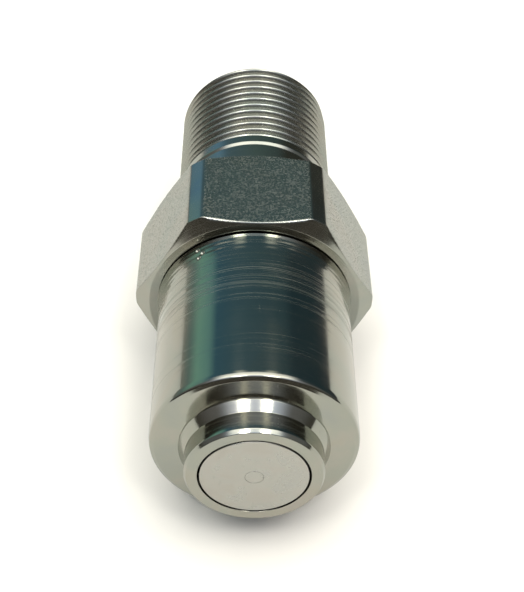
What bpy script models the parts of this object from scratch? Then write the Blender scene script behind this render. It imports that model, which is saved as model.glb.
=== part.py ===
"""Flat face quick coupling, male half, as an assembly of separate solid pieces.

The coupling lies on a flat of its hexagon, as on a bench. Its axis runs along Y, with the flat nose
towards -Y and the threaded stub towards +Y. All sizes below are millimetres. A station is a distance
along the axis, measured back from the flat face of the nose.
"""
import math

import bmesh
import bpy
from mathutils import Matrix, Vector

MM = 0.001

# Clearances between pieces that touch or slide on the real coupling
FIT = 0.3
SEAL_FIT = 0.2

# Nose, collar and flat shoulder of the front body
NOSE_DIA = 19.7
NOSE_CHAMFER = 0.35
NOSE_CHAMFER_LENGTH = 0.6
NOSE_LENGTH = 3.5
RAMP_LENGTH = 1.5
COLLAR_DIA = 21.6
COLLAR_LENGTH = 0.1
RIM_EDGE_LENGTH = 1.3
RIM_EDGE_DEPTH = 0.8

# Sleeve of the front body
SLEEVE_DIA = 30.0
SLEEVE_LENGTH = 28.8
SLEEVE_FLARE = 0.35
SLEEVE_FLARE_LENGTH = 2.3

# Hollow of the front body
NOSE_WALL = 1.9
NOSE_LAND = 7.2
CAVITY_DIA = 22.4
JOINT_LENGTH = 9.7

# Hexagon, shank and thread of the rear adapter
HEX_ACROSS_FLATS = 34.0
HEX_CORNER_TURNED = 0.73
HEX_LENGTH = 16.8
HEX_FACE_INSET = 0.3
HEX_CHAMFER_DEGREES = 30.0
SHANK_DIA = 25.6
SHANK_LENGTH = 8.65
LAND_LENGTH = 2.35
LAND_CHAMFER_LENGTH = 0.5
THREAD_DIA = 26.44
THREAD_PITCH = 1.814
THREAD_DEPTH = 1.162
THREAD_LENGTH = 21.0
THREAD_END_CHAMFER = 1.1

# Hollow of the rear adapter
PORT_DIA = 17.2
PORT_MOUTH_DEPTH = 1.6
GUIDE_SHOULDER = 1.2
SPIGOT_WALL = 2.6
PORT_MOUTH_DEGREES = 30.0
BODY_SEAL_STATION = 1.5
BODY_SEAL_WIRE = 1.5
BODY_BACKUP_WIDTH = 1.2

# Poppet
POPPET_SEAL_STATION = 2.0
POPPET_SEAL_WIRE = 1.5
POPPET_BACKUP_WIDTH = 0.8
FLANGE_CLEARANCE = 0.8
FLANGE_THICKNESS = 1.7
STEM_SOCKET_DEPTH = 3.7
STEM_FRONT_DIA = 8.0
STEM_FRONT_LENGTH = 10.0
STEM_ROD_DIA = 5.0
STEM_TAIL = 1.3
STEM_BORE_DIA = 6.0
STEM_BORE_DEPTH = 8.0
STEM_CROSS_HOLE_DIA = 2.0
STEM_CROSS_HOLE_STATION = 5.5
STEM_CLIP_GROOVE_DEPTH = 0.5
STEM_END_CHAMFER = 0.5

# Relief pin in the middle of the poppet
PIN_DIA = 2.6
PIN_HEAD_PLAY = 0.6
PIN_HEAD_LENGTH = 1.2
PIN_TAIL_DIA = 1.8
PIN_TAIL_LENGTH = 3.0
PIN_CHAMBER_STATION = 4.0
PIN_SEAL_WIRE = 0.8

# Springs
MAIN_SPRING_PLAY = 1.4
MAIN_SPRING_WIRE = 1.6
MAIN_SPRING_TURNS = 5
RELIEF_SPRING_PLAY = 0.7
RELIEF_SPRING_WIRE = 0.6
RELIEF_SPRING_TURNS = 6
CLOSED_TURN_GAP = 0.15

# Spring cup, spring seat, guide and clips
CUP_PLAY = 0.4
CUP_FLOOR = 0.8
CUP_LIP_HEIGHT = 1.4
CUP_LIP_WALL = 1.0
SEAT_THICKNESS = 0.8
SEAT_CLEARANCE = 0.7
GUIDE_DEPTH = 9.1
GUIDE_WEB = 2.8
GUIDE_RIM_WALL = 1.5
GUIDE_HUB_WALL = 0.7
GUIDE_HUB_FRONT = 1.4
GUIDE_HUB_REAR = 2.5
GUIDE_ARMS = 3
GUIDE_ARM_WIDTH = 3.0
BUSH_WALL = 0.8
BUSH_FLANGE_STEP = 0.2
BUSH_FLANGE = 0.8
CLIP_THICKNESS = 1.0
CLIP_DEPTH = 0.8
CLIP_SECTION = 1.6
CLIP_OPENING_DEGREES = 40.0
WASHER_MARGIN = 0.4
WASHER_THICKNESS = 0.8
WASHER_PLAY = 0.6
STEM_CLIP_SECTION = 1.9
STEM_CLIP_THICKNESS = 0.8

# Facets
FINE = 40
MEDIUM = 24
COARSE = 16
RING_SIDES = 6
HOLE_SIDES = 12
ARC_STEPS = 4
WINDOW_STEPS = 6
SMOOTH_DEGREES = 30
MERGE_DISTANCE = 0.001

# Stations worked out from the sizes above
RAMP_STATION = NOSE_LENGTH
COLLAR_STATION = RAMP_STATION + RAMP_LENGTH
SHOULDER_FACE = COLLAR_STATION + COLLAR_LENGTH
SLEEVE_END = SHOULDER_FACE + SLEEVE_LENGTH
HEX_STATION = SLEEVE_END + FIT
HEX_END = HEX_STATION + HEX_LENGTH
SHANK_END = HEX_END + SHANK_LENGTH
THREAD_STATION = SHANK_END + LAND_LENGTH
TOTAL_LENGTH = THREAD_STATION + THREAD_LENGTH
JOINT_STATION = SLEEVE_END - JOINT_LENGTH
SPIGOT_STATION = JOINT_STATION + FIT

# Radii of the housing worked out from the sizes above
BORE_RADIUS = NOSE_DIA / 2 - NOSE_WALL
RIM_RADIUS = SLEEVE_DIA / 2 - RIM_EDGE_DEPTH
HEX_FACE_RADIUS = HEX_ACROSS_FLATS / 2 - HEX_FACE_INSET
HEX_CORNER_RADIUS = HEX_ACROSS_FLATS / 2 / math.cos(math.pi / 6) - HEX_CORNER_TURNED
THREAD_ROOT_RADIUS = THREAD_DIA / 2 - THREAD_DEPTH
PORT_RADIUS = PORT_DIA / 2
MOUTH_RADIUS = PORT_RADIUS + PORT_MOUTH_DEPTH
GUIDE_BORE_RADIUS = PORT_RADIUS + GUIDE_SHOULDER
SPIGOT_RADIUS = GUIDE_BORE_RADIUS + SPIGOT_WALL
JOINT_RADIUS = SPIGOT_RADIUS + FIT
GUIDE_RADIUS = GUIDE_BORE_RADIUS - FIT
CLIP_OUTER_RADIUS = GUIDE_BORE_RADIUS + CLIP_DEPTH - FIT
CLIP_INNER_RADIUS = CLIP_OUTER_RADIUS - CLIP_SECTION
SEAT_RADIUS = CLIP_INNER_RADIUS - SEAT_CLEARANCE
BODY_GROOVE_RADIUS = JOINT_RADIUS - BODY_SEAL_WIRE - 2 * SEAL_FIT

# Radii of the valve worked out from the sizes above
HEAD_RADIUS = BORE_RADIUS - FIT
POPPET_GROOVE_RADIUS = BORE_RADIUS - POPPET_SEAL_WIRE - 2 * SEAL_FIT
FLANGE_RADIUS = GUIDE_BORE_RADIUS - FLANGE_CLEARANCE
STEM_FRONT_RADIUS = STEM_FRONT_DIA / 2
STEM_BORE_RADIUS = STEM_BORE_DIA / 2
SOCKET_RADIUS = STEM_FRONT_RADIUS + FIT
ROD_RADIUS = STEM_ROD_DIA / 2
CLIP_GROOVE_RADIUS = ROD_RADIUS - STEM_CLIP_GROOVE_DEPTH
BUSH_BORE_RADIUS = ROD_RADIUS + FIT
BUSH_RADIUS = BUSH_BORE_RADIUS + BUSH_WALL
HUB_BORE_RADIUS = BUSH_RADIUS + FIT
HUB_RADIUS = HUB_BORE_RADIUS + GUIDE_HUB_WALL
PIN_RADIUS = PIN_DIA / 2
PIN_BORE_RADIUS = PIN_RADIUS + FIT
MAIN_SPRING_RADIUS = STEM_FRONT_RADIUS + MAIN_SPRING_PLAY + MAIN_SPRING_WIRE / 2
MAIN_SPRING_OUTSIDE = MAIN_SPRING_RADIUS + MAIN_SPRING_WIRE / 2
RELIEF_SPRING_RADIUS = STEM_BORE_RADIUS - RELIEF_SPRING_PLAY - RELIEF_SPRING_WIRE / 2

# Lengths and stations of the valve worked out from the sizes above
BODY_GROOVE = BODY_SEAL_WIRE + BODY_BACKUP_WIDTH + 3 * SEAL_FIT
POPPET_GROOVE = 2 * POPPET_BACKUP_WIDTH + POPPET_SEAL_WIRE + 4 * SEAL_FIT
CONE_STATION = NOSE_LAND + FIT * (math.sqrt(2) - 1)
FLANGE_STATION = CONE_STATION + FLANGE_RADIUS - HEAD_RADIUS
HEAD_LENGTH = FLANGE_STATION + FLANGE_THICKNESS
SOCKET_STATION = HEAD_LENGTH - STEM_SOCKET_DEPTH
STEM_STATION = SOCKET_STATION + FIT
PIN_HEAD_STATION = PIN_CHAMBER_STATION + PIN_SEAL_WIRE + 1.5 * SEAL_FIT
PIN_HEAD_END = PIN_HEAD_STATION + PIN_HEAD_LENGTH
CUP_STATION = HEAD_LENGTH + FIT
GUIDE_STATION = SPIGOT_STATION + GUIDE_DEPTH
SEAT_STATION = GUIDE_STATION - FIT - SEAT_THICKNESS
SHOULDER_STATION = GUIDE_STATION + GUIDE_WEB + FIT
CLIP_STATION = GUIDE_STATION - FIT - CLIP_THICKNESS
HUB_START = GUIDE_STATION - GUIDE_HUB_FRONT
HUB_END = GUIDE_STATION + GUIDE_WEB + GUIDE_HUB_REAR
BUSH_STATION = HUB_START - FIT - BUSH_FLANGE
WASHER_STATION = HUB_END + WASHER_PLAY
STEM_CLIP_STATION = WASHER_STATION + WASHER_THICKNESS + FIT
STEM_CLIP_END = STEM_CLIP_STATION + STEM_CLIP_THICKNESS
STEM_END = STEM_CLIP_END + FIT + STEM_TAIL


def clear_scene():
    """Remove every object of the open scene."""
    for item in list(bpy.data.objects):
        bpy.data.objects.remove(item, do_unlink=True)


def metal(name, colour, roughness):
    """Return a metal material."""
    return finish(name, colour, roughness, 1.0)


def finish(name, colour, roughness, metallic):
    """Return a Principled material with one colour, roughness and metallic value."""
    material = bpy.data.materials.new(name)
    material.use_nodes = True
    shader = material.node_tree.nodes["Principled BSDF"]
    shader.inputs["Base Color"].default_value = (*colour, 1.0)
    shader.inputs["Roughness"].default_value = roughness
    shader.inputs["Metallic"].default_value = metallic
    material.diffuse_color = (*colour, 1.0)
    return material


def empty(name, parent=None, location=(0.0, 0.0, 0.0)):
    """Add an empty that carries other objects."""
    holder = bpy.data.objects.new(name, None)
    bpy.context.scene.collection.objects.link(holder)
    holder.parent = parent
    holder.location = location
    return holder


def solid(name, mesh_tool, material, parent, station=0.0):
    """Turn a bmesh into an object whose own origin lies on the axis at a station."""
    bmesh.ops.recalc_face_normals(mesh_tool, faces=mesh_tool.faces)
    mesh = bpy.data.meshes.new(name)
    mesh_tool.to_mesh(mesh)
    mesh_tool.free()
    mesh.shade_smooth()
    mesh.set_sharp_from_angle(angle=math.radians(SMOOTH_DEGREES))
    mesh.materials.append(material)
    item = bpy.data.objects.new(name, mesh)
    bpy.context.scene.collection.objects.link(item)
    item.parent = parent
    item.location = (0.0, station * MM, 0.0)
    return item


def turned(profile, segments=FINE):
    """Spin an outline of (station, radius) points round the axis.

    An outline that starts and ends on the axis gives a solid piece, any other one is closed and
    gives a ring.
    """
    tool = bmesh.new()
    points = [tool.verts.new((0.0, along * MM, radius * MM)) for along, radius in profile]
    edges = [tool.edges.new(pair) for pair in zip(points, points[1:])]
    if profile[0][1] > 0.0:
        edges.append(tool.edges.new((points[-1], points[0])))
    bmesh.ops.spin(tool, geom=points + edges, cent=(0, 0, 0), axis=(0, 1, 0), angle=2 * math.pi,
                   steps=segments, use_merge=True)
    bmesh.ops.remove_doubles(tool, verts=tool.verts, dist=MERGE_DISTANCE * MM)
    return tool


def loft(sections, closed):
    """Join sections of equally many points into one skin, with flat ends where it isn't closed."""
    tool = bmesh.new()
    loops = [[tool.verts.new(point) for point in section] for section in sections]
    pairs = list(zip(loops, loops[1:]))
    if closed:
        pairs.append((loops[-1], loops[0]))
    for first, second in pairs:
        for index in range(len(first)):
            following = (index + 1) % len(first)
            tool.faces.new((first[index], first[following], second[following], second[index]))
    if not closed:
        tool.faces.new(loops[0])
        tool.faces.new(reversed(loops[-1]))
    return tool


def quarter(start, end, bulge_from_start):
    """Return the points after start on a quarter ellipse to end.

    bulge_from_start tells whether the curve leaves start along the axis, or else radially.
    """
    points = []
    for step in range(1, ARC_STEPS + 1):
        angle = math.pi / 2 * step / ARC_STEPS
        first, last = (math.sin(angle), 1 - math.cos(angle))
        along, outward = (first, last) if bulge_from_start else (last, first)
        points.append((start[0] + (end[0] - start[0]) * along,
                       start[1] + (end[1] - start[1]) * outward))
    return points


def rectangle(start, end, inner, outer):
    """Return the outline of a plain ring."""
    return [(start, inner), (start, outer), (end, outer), (end, inner)]


def round_ring(centre_station, centre_radius, wire):
    """Return the outline of a ring with a round section."""
    points = []
    for side in range(RING_SIDES):
        angle = 2 * math.pi * (side + 0.5) / RING_SIDES
        points.append((centre_station + wire / 2 * math.cos(angle),
                       centre_radius + wire / 2 * math.sin(angle)))
    return points


def coil(length, radius, wire, turns):
    """Return a compression spring that starts at station 0, with one closed turn at each end."""
    closed_pitch = wire + CLOSED_TURN_GAP
    free_pitch = (length - wire - 2 * closed_pitch) / (turns - 2)
    sections = []
    for step in range(turns * COARSE + 1):
        turn = step / COARSE
        station = wire / 2 + closed_pitch * min(turn, 1.0)
        station += free_pitch * min(max(turn - 1.0, 0.0), turns - 2)
        station += closed_pitch * max(turn - (turns - 1), 0.0)
        angle = 2 * math.pi * turn
        outward = Vector((math.sin(angle), 0.0, math.cos(angle)))
        middle = outward * radius + Vector((0.0, station, 0.0))
        section = []
        for side in range(RING_SIDES):
            tilt = 2 * math.pi * (side + 0.5) / RING_SIDES
            section.append((middle + outward * (wire / 2 * math.cos(tilt))
                            + Vector((0.0, wire / 2 * math.sin(tilt), 0.0))) * MM)
        sections.append(section)
    return loft(sections, closed=False)


def open_ring(thickness, inner, outer, segments):
    """Return a flat spring clip, open at the top."""
    half_opening = math.radians(CLIP_OPENING_DEGREES) / 2
    sections = []
    for step in range(segments + 1):
        angle = half_opening + (2 * math.pi - 2 * half_opening) * step / segments
        outward = Vector((math.sin(angle), 0.0, math.cos(angle)))
        back = Vector((0.0, thickness, 0.0))
        sections.append([outward * inner * MM, outward * outer * MM,
                         (outward * outer + back) * MM, (outward * inner + back) * MM])
    return loft(sections, closed=False)


def cut(item, cutter):
    """Take a hidden cutter away from an object with a live Boolean."""
    cutter.hide_render = True
    cutter.display_type = "WIRE"
    modifier = item.modifiers.new("cut", "BOOLEAN")
    modifier.operation = "DIFFERENCE"
    modifier.solver = "EXACT"
    modifier.object = cutter


def window(centre_degrees, inner, outer, start, end):
    """Return the two ends of a window between two arms of the guide, a sector of a ring."""
    corners = []
    spacing = math.pi / GUIDE_ARMS
    for radius, order in ((outer, 1), (inner, -1)):
        reach = spacing - math.asin(GUIDE_ARM_WIDTH / 2 / radius)
        for step in range(WINDOW_STEPS + 1):
            angle = math.radians(centre_degrees) + order * reach * (2 * step / WINDOW_STEPS - 1)
            corners.append((radius * math.sin(angle), radius * math.cos(angle)))
    return [[Vector((x, along, z)) * MM for x, z in corners] for along in (start, end)]


def front_body(material, parent):
    """Nose, collar, flat shoulder and sleeve, turned from one bar and bored for the valve."""
    nose = NOSE_DIA / 2
    sleeve = SLEEVE_DIA / 2
    cavity = CAVITY_DIA / 2
    rim = (SHOULDER_FACE, RIM_RADIUS)
    flare = (SLEEVE_END - SLEEVE_FLARE_LENGTH, sleeve)
    profile = [(0.0, BORE_RADIUS), (0.0, nose - NOSE_CHAMFER), (NOSE_CHAMFER_LENGTH, nose),
               (RAMP_STATION, nose), (COLLAR_STATION, COLLAR_DIA / 2), (SHOULDER_FACE, COLLAR_DIA / 2), rim]
    profile += quarter(rim, (SHOULDER_FACE + RIM_EDGE_LENGTH, sleeve), bulge_from_start=False)
    profile.append(flare)
    profile += quarter(flare, (SLEEVE_END, sleeve + SLEEVE_FLARE), bulge_from_start=True)
    profile += [(SLEEVE_END, JOINT_RADIUS), (JOINT_STATION, JOINT_RADIUS), (JOINT_STATION, cavity),
                (NOSE_LAND + cavity - BORE_RADIUS, cavity), (NOSE_LAND, BORE_RADIUS)]
    return solid("front_body", turned(profile), material, parent)


def thread_outline():
    """Return the outline of the stub from its plain land, one step before the first root, to its end."""
    crest = THREAD_DIA / 2
    full_depth = THREAD_LENGTH - THREAD_END_CHAMFER
    points = [(SHANK_END + LAND_CHAMFER_LENGTH, crest)]
    for step in range(-1, int(full_depth / (THREAD_PITCH / 2)) + 1):
        radius = crest if step % 2 else THREAD_ROOT_RADIUS
        points.append((THREAD_STATION + THREAD_PITCH / 2 * step, radius))
    points.append((TOTAL_LENGTH, crest - THREAD_END_CHAMFER))
    return points


def rear_adapter(material, parent):
    """Spigot, hexagon, shank and threaded stub in one piece, with the port through it."""
    chamfer = (HEX_CORNER_RADIUS - HEX_FACE_RADIUS) * math.tan(math.radians(HEX_CHAMFER_DEGREES))
    mouth_length = PORT_MOUTH_DEPTH / math.tan(math.radians(PORT_MOUTH_DEGREES))
    shank = SHANK_DIA / 2
    groove_start = SPIGOT_STATION + BODY_SEAL_STATION
    groove_end = groove_start + BODY_GROOVE
    clip_start = CLIP_STATION - FIT
    clip_end = CLIP_STATION + CLIP_THICKNESS + FIT
    clip_groove = GUIDE_BORE_RADIUS + CLIP_DEPTH
    profile = [(SPIGOT_STATION, GUIDE_BORE_RADIUS), (SPIGOT_STATION, SPIGOT_RADIUS),
               (groove_start, SPIGOT_RADIUS), (groove_start, BODY_GROOVE_RADIUS),
               (groove_end, BODY_GROOVE_RADIUS), (groove_end, SPIGOT_RADIUS),
               (HEX_STATION, SPIGOT_RADIUS), (HEX_STATION, HEX_FACE_RADIUS),
               (HEX_STATION + chamfer, HEX_CORNER_RADIUS), (HEX_END - chamfer, HEX_CORNER_RADIUS),
               (HEX_END, HEX_FACE_RADIUS), (HEX_END, shank), (SHANK_END, shank)]
    profile += thread_outline()
    profile += [(TOTAL_LENGTH, MOUTH_RADIUS), (TOTAL_LENGTH - mouth_length, PORT_RADIUS),
                (SHOULDER_STATION, PORT_RADIUS), (SHOULDER_STATION, GUIDE_BORE_RADIUS),
                (clip_end, GUIDE_BORE_RADIUS), (clip_end, clip_groove), (clip_start, clip_groove),
                (clip_start, GUIDE_BORE_RADIUS)]
    adapter = solid("rear_adapter", turned(profile), material, parent)
    cut(adapter, hexagon_cutter(material, parent))
    return adapter


def hexagon_cutter(material, parent):
    """A thick tube with a hexagonal hole, one flat of which faces up."""
    inner = HEX_ACROSS_FLATS / 2 / math.cos(math.pi / 6)
    outer = 2 * HEX_CORNER_RADIUS
    sections = []
    for along, size in ((HEX_STATION - FIT, inner), (HEX_STATION - FIT, outer), (HEX_END + FIT, outer),
                        (HEX_END + FIT, inner)):
        angles = [math.pi / 3 * side for side in range(6)]
        sections.append([Vector((size * math.cos(angle), along, size * math.sin(angle))) * MM
                         for angle in angles])
    return solid("hexagon_cutter", loft(sections, closed=True), material, parent)


def body_seals(rubber, plastic, parent):
    """The O-ring and the back-up ring of the screwed joint, in the spigot's groove."""
    station = SPIGOT_STATION + BODY_SEAL_STATION + SEAL_FIT
    inner = BODY_GROOVE_RADIUS + SEAL_FIT
    ring = turned(round_ring(BODY_SEAL_WIRE / 2, inner + BODY_SEAL_WIRE / 2, BODY_SEAL_WIRE), MEDIUM)
    solid("body_o_ring", ring, rubber, parent, station)
    station += BODY_SEAL_WIRE + SEAL_FIT
    backup = turned(rectangle(0.0, BODY_BACKUP_WIDTH, inner, JOINT_RADIUS - SEAL_FIT), MEDIUM)
    solid("body_backup_ring", backup, plastic, parent, station)


def poppet_head(material, parent):
    """The flat-faced head, with its seal groove, its stop cone and the socket for the stem."""
    groove_end = POPPET_SEAL_STATION + POPPET_GROOVE
    profile = [(0.0, PIN_BORE_RADIUS), (0.0, HEAD_RADIUS), (POPPET_SEAL_STATION, HEAD_RADIUS),
               (POPPET_SEAL_STATION, POPPET_GROOVE_RADIUS), (groove_end, POPPET_GROOVE_RADIUS),
               (groove_end, HEAD_RADIUS), (CONE_STATION, HEAD_RADIUS), (FLANGE_STATION, FLANGE_RADIUS),
               (HEAD_LENGTH, FLANGE_RADIUS), (HEAD_LENGTH, SOCKET_RADIUS), (SOCKET_STATION, SOCKET_RADIUS),
               (SOCKET_STATION, STEM_BORE_RADIUS), (PIN_CHAMBER_STATION, STEM_BORE_RADIUS),
               (PIN_CHAMBER_STATION, PIN_BORE_RADIUS)]
    return solid("poppet_head", turned(profile), material, parent)


def poppet_seals(rubber, plastic, parent):
    """The O-ring of the poppet between its two back-up rings."""
    inner = POPPET_GROOVE_RADIUS + SEAL_FIT
    outer = BORE_RADIUS - SEAL_FIT
    station = POPPET_SEAL_STATION + SEAL_FIT
    backup = turned(rectangle(0.0, POPPET_BACKUP_WIDTH, inner, outer))
    solid("poppet_backup_front", backup, plastic, parent, station)
    station += POPPET_BACKUP_WIDTH + SEAL_FIT
    ring = turned(round_ring(POPPET_SEAL_WIRE / 2, (inner + outer) / 2, POPPET_SEAL_WIRE))
    solid("poppet_o_ring", ring, rubber, parent, station)
    station += POPPET_SEAL_WIRE + SEAL_FIT
    backup = turned(rectangle(0.0, POPPET_BACKUP_WIDTH, inner, outer))
    solid("poppet_backup_rear", backup, plastic, parent, station)


def poppet_stem(material, parent):
    """The stem, hollow at the front for the relief spring, with cross holes that let oil to the pin."""
    clip_start = STEM_CLIP_STATION - FIT - STEM_STATION
    clip_end = STEM_CLIP_END + FIT - STEM_STATION
    end = STEM_END - STEM_STATION
    profile = [(STEM_BORE_DEPTH, 0.0), (STEM_BORE_DEPTH, STEM_BORE_RADIUS), (0.0, STEM_BORE_RADIUS),
               (0.0, STEM_FRONT_RADIUS), (STEM_FRONT_LENGTH, STEM_FRONT_RADIUS),
               (STEM_FRONT_LENGTH, ROD_RADIUS), (clip_start, ROD_RADIUS), (clip_start, CLIP_GROOVE_RADIUS),
               (clip_end, CLIP_GROOVE_RADIUS), (clip_end, ROD_RADIUS), (end - STEM_END_CHAMFER, ROD_RADIUS),
               (end, ROD_RADIUS - STEM_END_CHAMFER), (end, 0.0)]
    stem = solid("poppet_stem", turned(profile, MEDIUM), material, parent, STEM_STATION)
    tool = bmesh.new()
    place = Matrix.Rotation(math.pi / 2, 4, "Y")
    hole = STEM_CROSS_HOLE_DIA / 2 * MM
    bmesh.ops.create_cone(tool, cap_ends=True, segments=HOLE_SIDES, radius1=hole, radius2=hole,
                          depth=(STEM_FRONT_DIA + 2 * FIT) * MM, matrix=place)
    cut(stem, solid("cross_hole_cutter", tool, material, parent, STEM_STATION + STEM_CROSS_HOLE_STATION))
    return stem


def relief_pin(material, parent):
    """The small pin whose end shows in the middle of the poppet, with its head and tail."""
    head = STEM_BORE_RADIUS - PIN_HEAD_PLAY
    tail = PIN_TAIL_DIA / 2
    profile = [(0.0, 0.0), (0.0, PIN_RADIUS), (PIN_HEAD_STATION, PIN_RADIUS), (PIN_HEAD_STATION, head),
               (PIN_HEAD_END, head), (PIN_HEAD_END, tail), (PIN_HEAD_END + PIN_TAIL_LENGTH, tail),
               (PIN_HEAD_END + PIN_TAIL_LENGTH, 0.0)]
    return solid("relief_pin", turned(profile, COARSE), material, parent)


def relief_parts(rubber, steel, parent):
    """The seal under the relief pin's head and the spring behind it."""
    seal = round_ring(PIN_SEAL_WIRE / 2, (PIN_RADIUS + STEM_BORE_RADIUS) / 2, PIN_SEAL_WIRE)
    solid("relief_seal", turned(seal, COARSE), rubber, parent, PIN_CHAMBER_STATION + SEAL_FIT)
    start = PIN_HEAD_END + FIT
    length = STEM_STATION + STEM_BORE_DEPTH - FIT - start
    spring = coil(length, RELIEF_SPRING_RADIUS, RELIEF_SPRING_WIRE, RELIEF_SPRING_TURNS)
    solid("relief_spring", spring, steel, parent, start)


def spring_cup(material, parent):
    """The cup behind the poppet's flange that centres the main spring."""
    lip = MAIN_SPRING_OUTSIDE + CUP_PLAY
    outer = lip + CUP_LIP_WALL
    end = CUP_FLOOR + CUP_LIP_HEIGHT
    profile = [(0.0, SOCKET_RADIUS), (0.0, outer), (end, outer), (end, lip), (CUP_FLOOR, lip),
               (CUP_FLOOR, SOCKET_RADIUS)]
    return solid("spring_cup", turned(profile, MEDIUM), material, parent, CUP_STATION)


def main_spring(material, parent):
    """The main spring between the cup and the rear seat."""
    start = CUP_STATION + CUP_FLOOR + FIT
    spring = coil(SEAT_STATION - FIT - start, MAIN_SPRING_RADIUS, MAIN_SPRING_WIRE, MAIN_SPRING_TURNS)
    return solid("main_spring", spring, material, parent, start)


def spring_seat(material, parent):
    """The washer on the guide that takes the rear of the main spring."""
    outline = rectangle(0.0, SEAT_THICKNESS, HUB_RADIUS + FIT, SEAT_RADIUS)
    return solid("spring_seat", turned(outline, MEDIUM), material, parent, SEAT_STATION)


def poppet_guide(material, parent):
    """The spider that carries the stem: a rim, arms with windows between them, and a hub."""
    web_end = GUIDE_HUB_FRONT + GUIDE_WEB
    hub_end = web_end + GUIDE_HUB_REAR
    profile = [(0.0, HUB_BORE_RADIUS), (0.0, HUB_RADIUS), (GUIDE_HUB_FRONT, HUB_RADIUS),
               (GUIDE_HUB_FRONT, GUIDE_RADIUS), (web_end, GUIDE_RADIUS), (web_end, HUB_RADIUS),
               (hub_end, HUB_RADIUS), (hub_end, HUB_BORE_RADIUS)]
    guide = solid("poppet_guide", turned(profile), material, parent, HUB_START)
    for arm in range(GUIDE_ARMS):
        ends = window(360 / GUIDE_ARMS * arm, HUB_RADIUS + FIT, GUIDE_RADIUS - GUIDE_RIM_WALL,
                      GUIDE_STATION - FIT, GUIDE_STATION + GUIDE_WEB + FIT)
        cut(guide, solid(f"window_cutter_{arm + 1}", loft(ends, closed=False), material, parent))
    return guide


def guide_bush(material, parent):
    """The flanged plain bush in the guide's hub."""
    end = HUB_END - BUSH_STATION
    flange = HUB_RADIUS - BUSH_FLANGE_STEP
    profile = [(0.0, BUSH_BORE_RADIUS), (0.0, flange), (BUSH_FLANGE, flange), (BUSH_FLANGE, BUSH_RADIUS),
               (end, BUSH_RADIUS), (end, BUSH_BORE_RADIUS)]
    return solid("guide_bush", turned(profile, MEDIUM), material, parent, BUSH_STATION)


def guide_retaining_ring(material, parent):
    """The spring clip in the adapter's groove that holds the guide on its shoulder."""
    clip = open_ring(CLIP_THICKNESS, CLIP_INNER_RADIUS, CLIP_OUTER_RADIUS, MEDIUM)
    return solid("guide_retaining_ring", clip, material, parent, CLIP_STATION)


def stem_fasteners(material, parent):
    """The washer and the clip that keep the valve and its spring together as a cartridge."""
    washer = rectangle(0.0, WASHER_THICKNESS, BUSH_BORE_RADIUS, HUB_RADIUS + WASHER_MARGIN)
    solid("stem_washer", turned(washer, MEDIUM), material, parent, WASHER_STATION)
    inner = CLIP_GROOVE_RADIUS + FIT
    clip = open_ring(STEM_CLIP_THICKNESS, inner, inner + STEM_CLIP_SECTION, COARSE)
    solid("stem_retaining_ring", clip, material, parent, STEM_CLIP_STATION)


def build():
    """Build every piece in its place."""
    clear_scene()
    plated = metal("plated_steel", (0.60, 0.61, 0.58), 0.25)
    bright = metal("bright_steel", (0.62, 0.62, 0.60), 0.35)
    spring_steel = metal("spring_steel", (0.32, 0.33, 0.35), 0.35)
    bronze = metal("bronze", (0.56, 0.38, 0.18), 0.40)
    rubber = finish("rubber", (0.02, 0.02, 0.02), 0.60, 0.0)
    plastic = finish("plastic", (0.85, 0.84, 0.80), 0.45, 0.0)

    axis_place = (0.0, -TOTAL_LENGTH / 2 * MM, HEX_ACROSS_FLATS / 2 * MM)
    housing = empty("housing_axis", location=axis_place)
    poppet = empty("poppet_axis", housing)
    pin = empty("relief_pin_axis", poppet)

    front_body(plated, housing)
    rear_adapter(plated, housing)
    body_seals(rubber, plastic, housing)
    poppet_guide(bright, housing)
    guide_bush(bronze, housing)
    guide_retaining_ring(spring_steel, housing)
    spring_seat(bright, housing)
    main_spring(spring_steel, housing)

    poppet_head(plated, poppet)
    poppet_seals(rubber, plastic, poppet)
    poppet_stem(bright, poppet)
    spring_cup(bright, poppet)
    stem_fasteners(spring_steel, poppet)
    relief_parts(rubber, spring_steel, poppet)

    relief_pin(bright, pin)


build()
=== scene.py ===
"""Dressed model of a flat face quick coupling, male half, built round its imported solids.

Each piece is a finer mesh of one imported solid, in the same place, with rounded edges, a true helical thread and a
procedural finish. Sizes are millimetres, a station is a distance along the coupling's axis, measured back from the
flat face of the nose, and an angle is turned from straight up towards +X.
"""
from __future__ import annotations

import logging
import math
from collections.abc import Callable, Sequence
from dataclasses import dataclass, field
from enum import Enum

import bmesh
import bpy
from mathutils import Matrix, Vector

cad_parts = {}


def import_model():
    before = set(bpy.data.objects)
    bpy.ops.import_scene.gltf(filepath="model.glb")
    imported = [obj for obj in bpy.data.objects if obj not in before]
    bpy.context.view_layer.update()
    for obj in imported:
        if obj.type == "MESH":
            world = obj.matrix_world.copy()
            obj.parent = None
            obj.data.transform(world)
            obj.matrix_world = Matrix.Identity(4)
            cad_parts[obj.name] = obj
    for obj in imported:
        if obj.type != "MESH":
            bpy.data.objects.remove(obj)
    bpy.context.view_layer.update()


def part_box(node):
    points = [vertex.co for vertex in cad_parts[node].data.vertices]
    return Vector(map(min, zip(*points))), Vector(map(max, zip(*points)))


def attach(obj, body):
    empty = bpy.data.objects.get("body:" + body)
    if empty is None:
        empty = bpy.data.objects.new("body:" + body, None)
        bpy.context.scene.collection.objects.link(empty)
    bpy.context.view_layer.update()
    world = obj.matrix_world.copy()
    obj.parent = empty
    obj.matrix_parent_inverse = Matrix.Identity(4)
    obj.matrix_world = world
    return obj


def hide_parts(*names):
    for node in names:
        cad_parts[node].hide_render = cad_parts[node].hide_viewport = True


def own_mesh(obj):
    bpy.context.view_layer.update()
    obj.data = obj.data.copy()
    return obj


LOG = logging.getLogger("coupling")
MM = 0.001
MILLED = "milled"

Point = tuple[float, float]
Colour = tuple[float, float, float]


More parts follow.
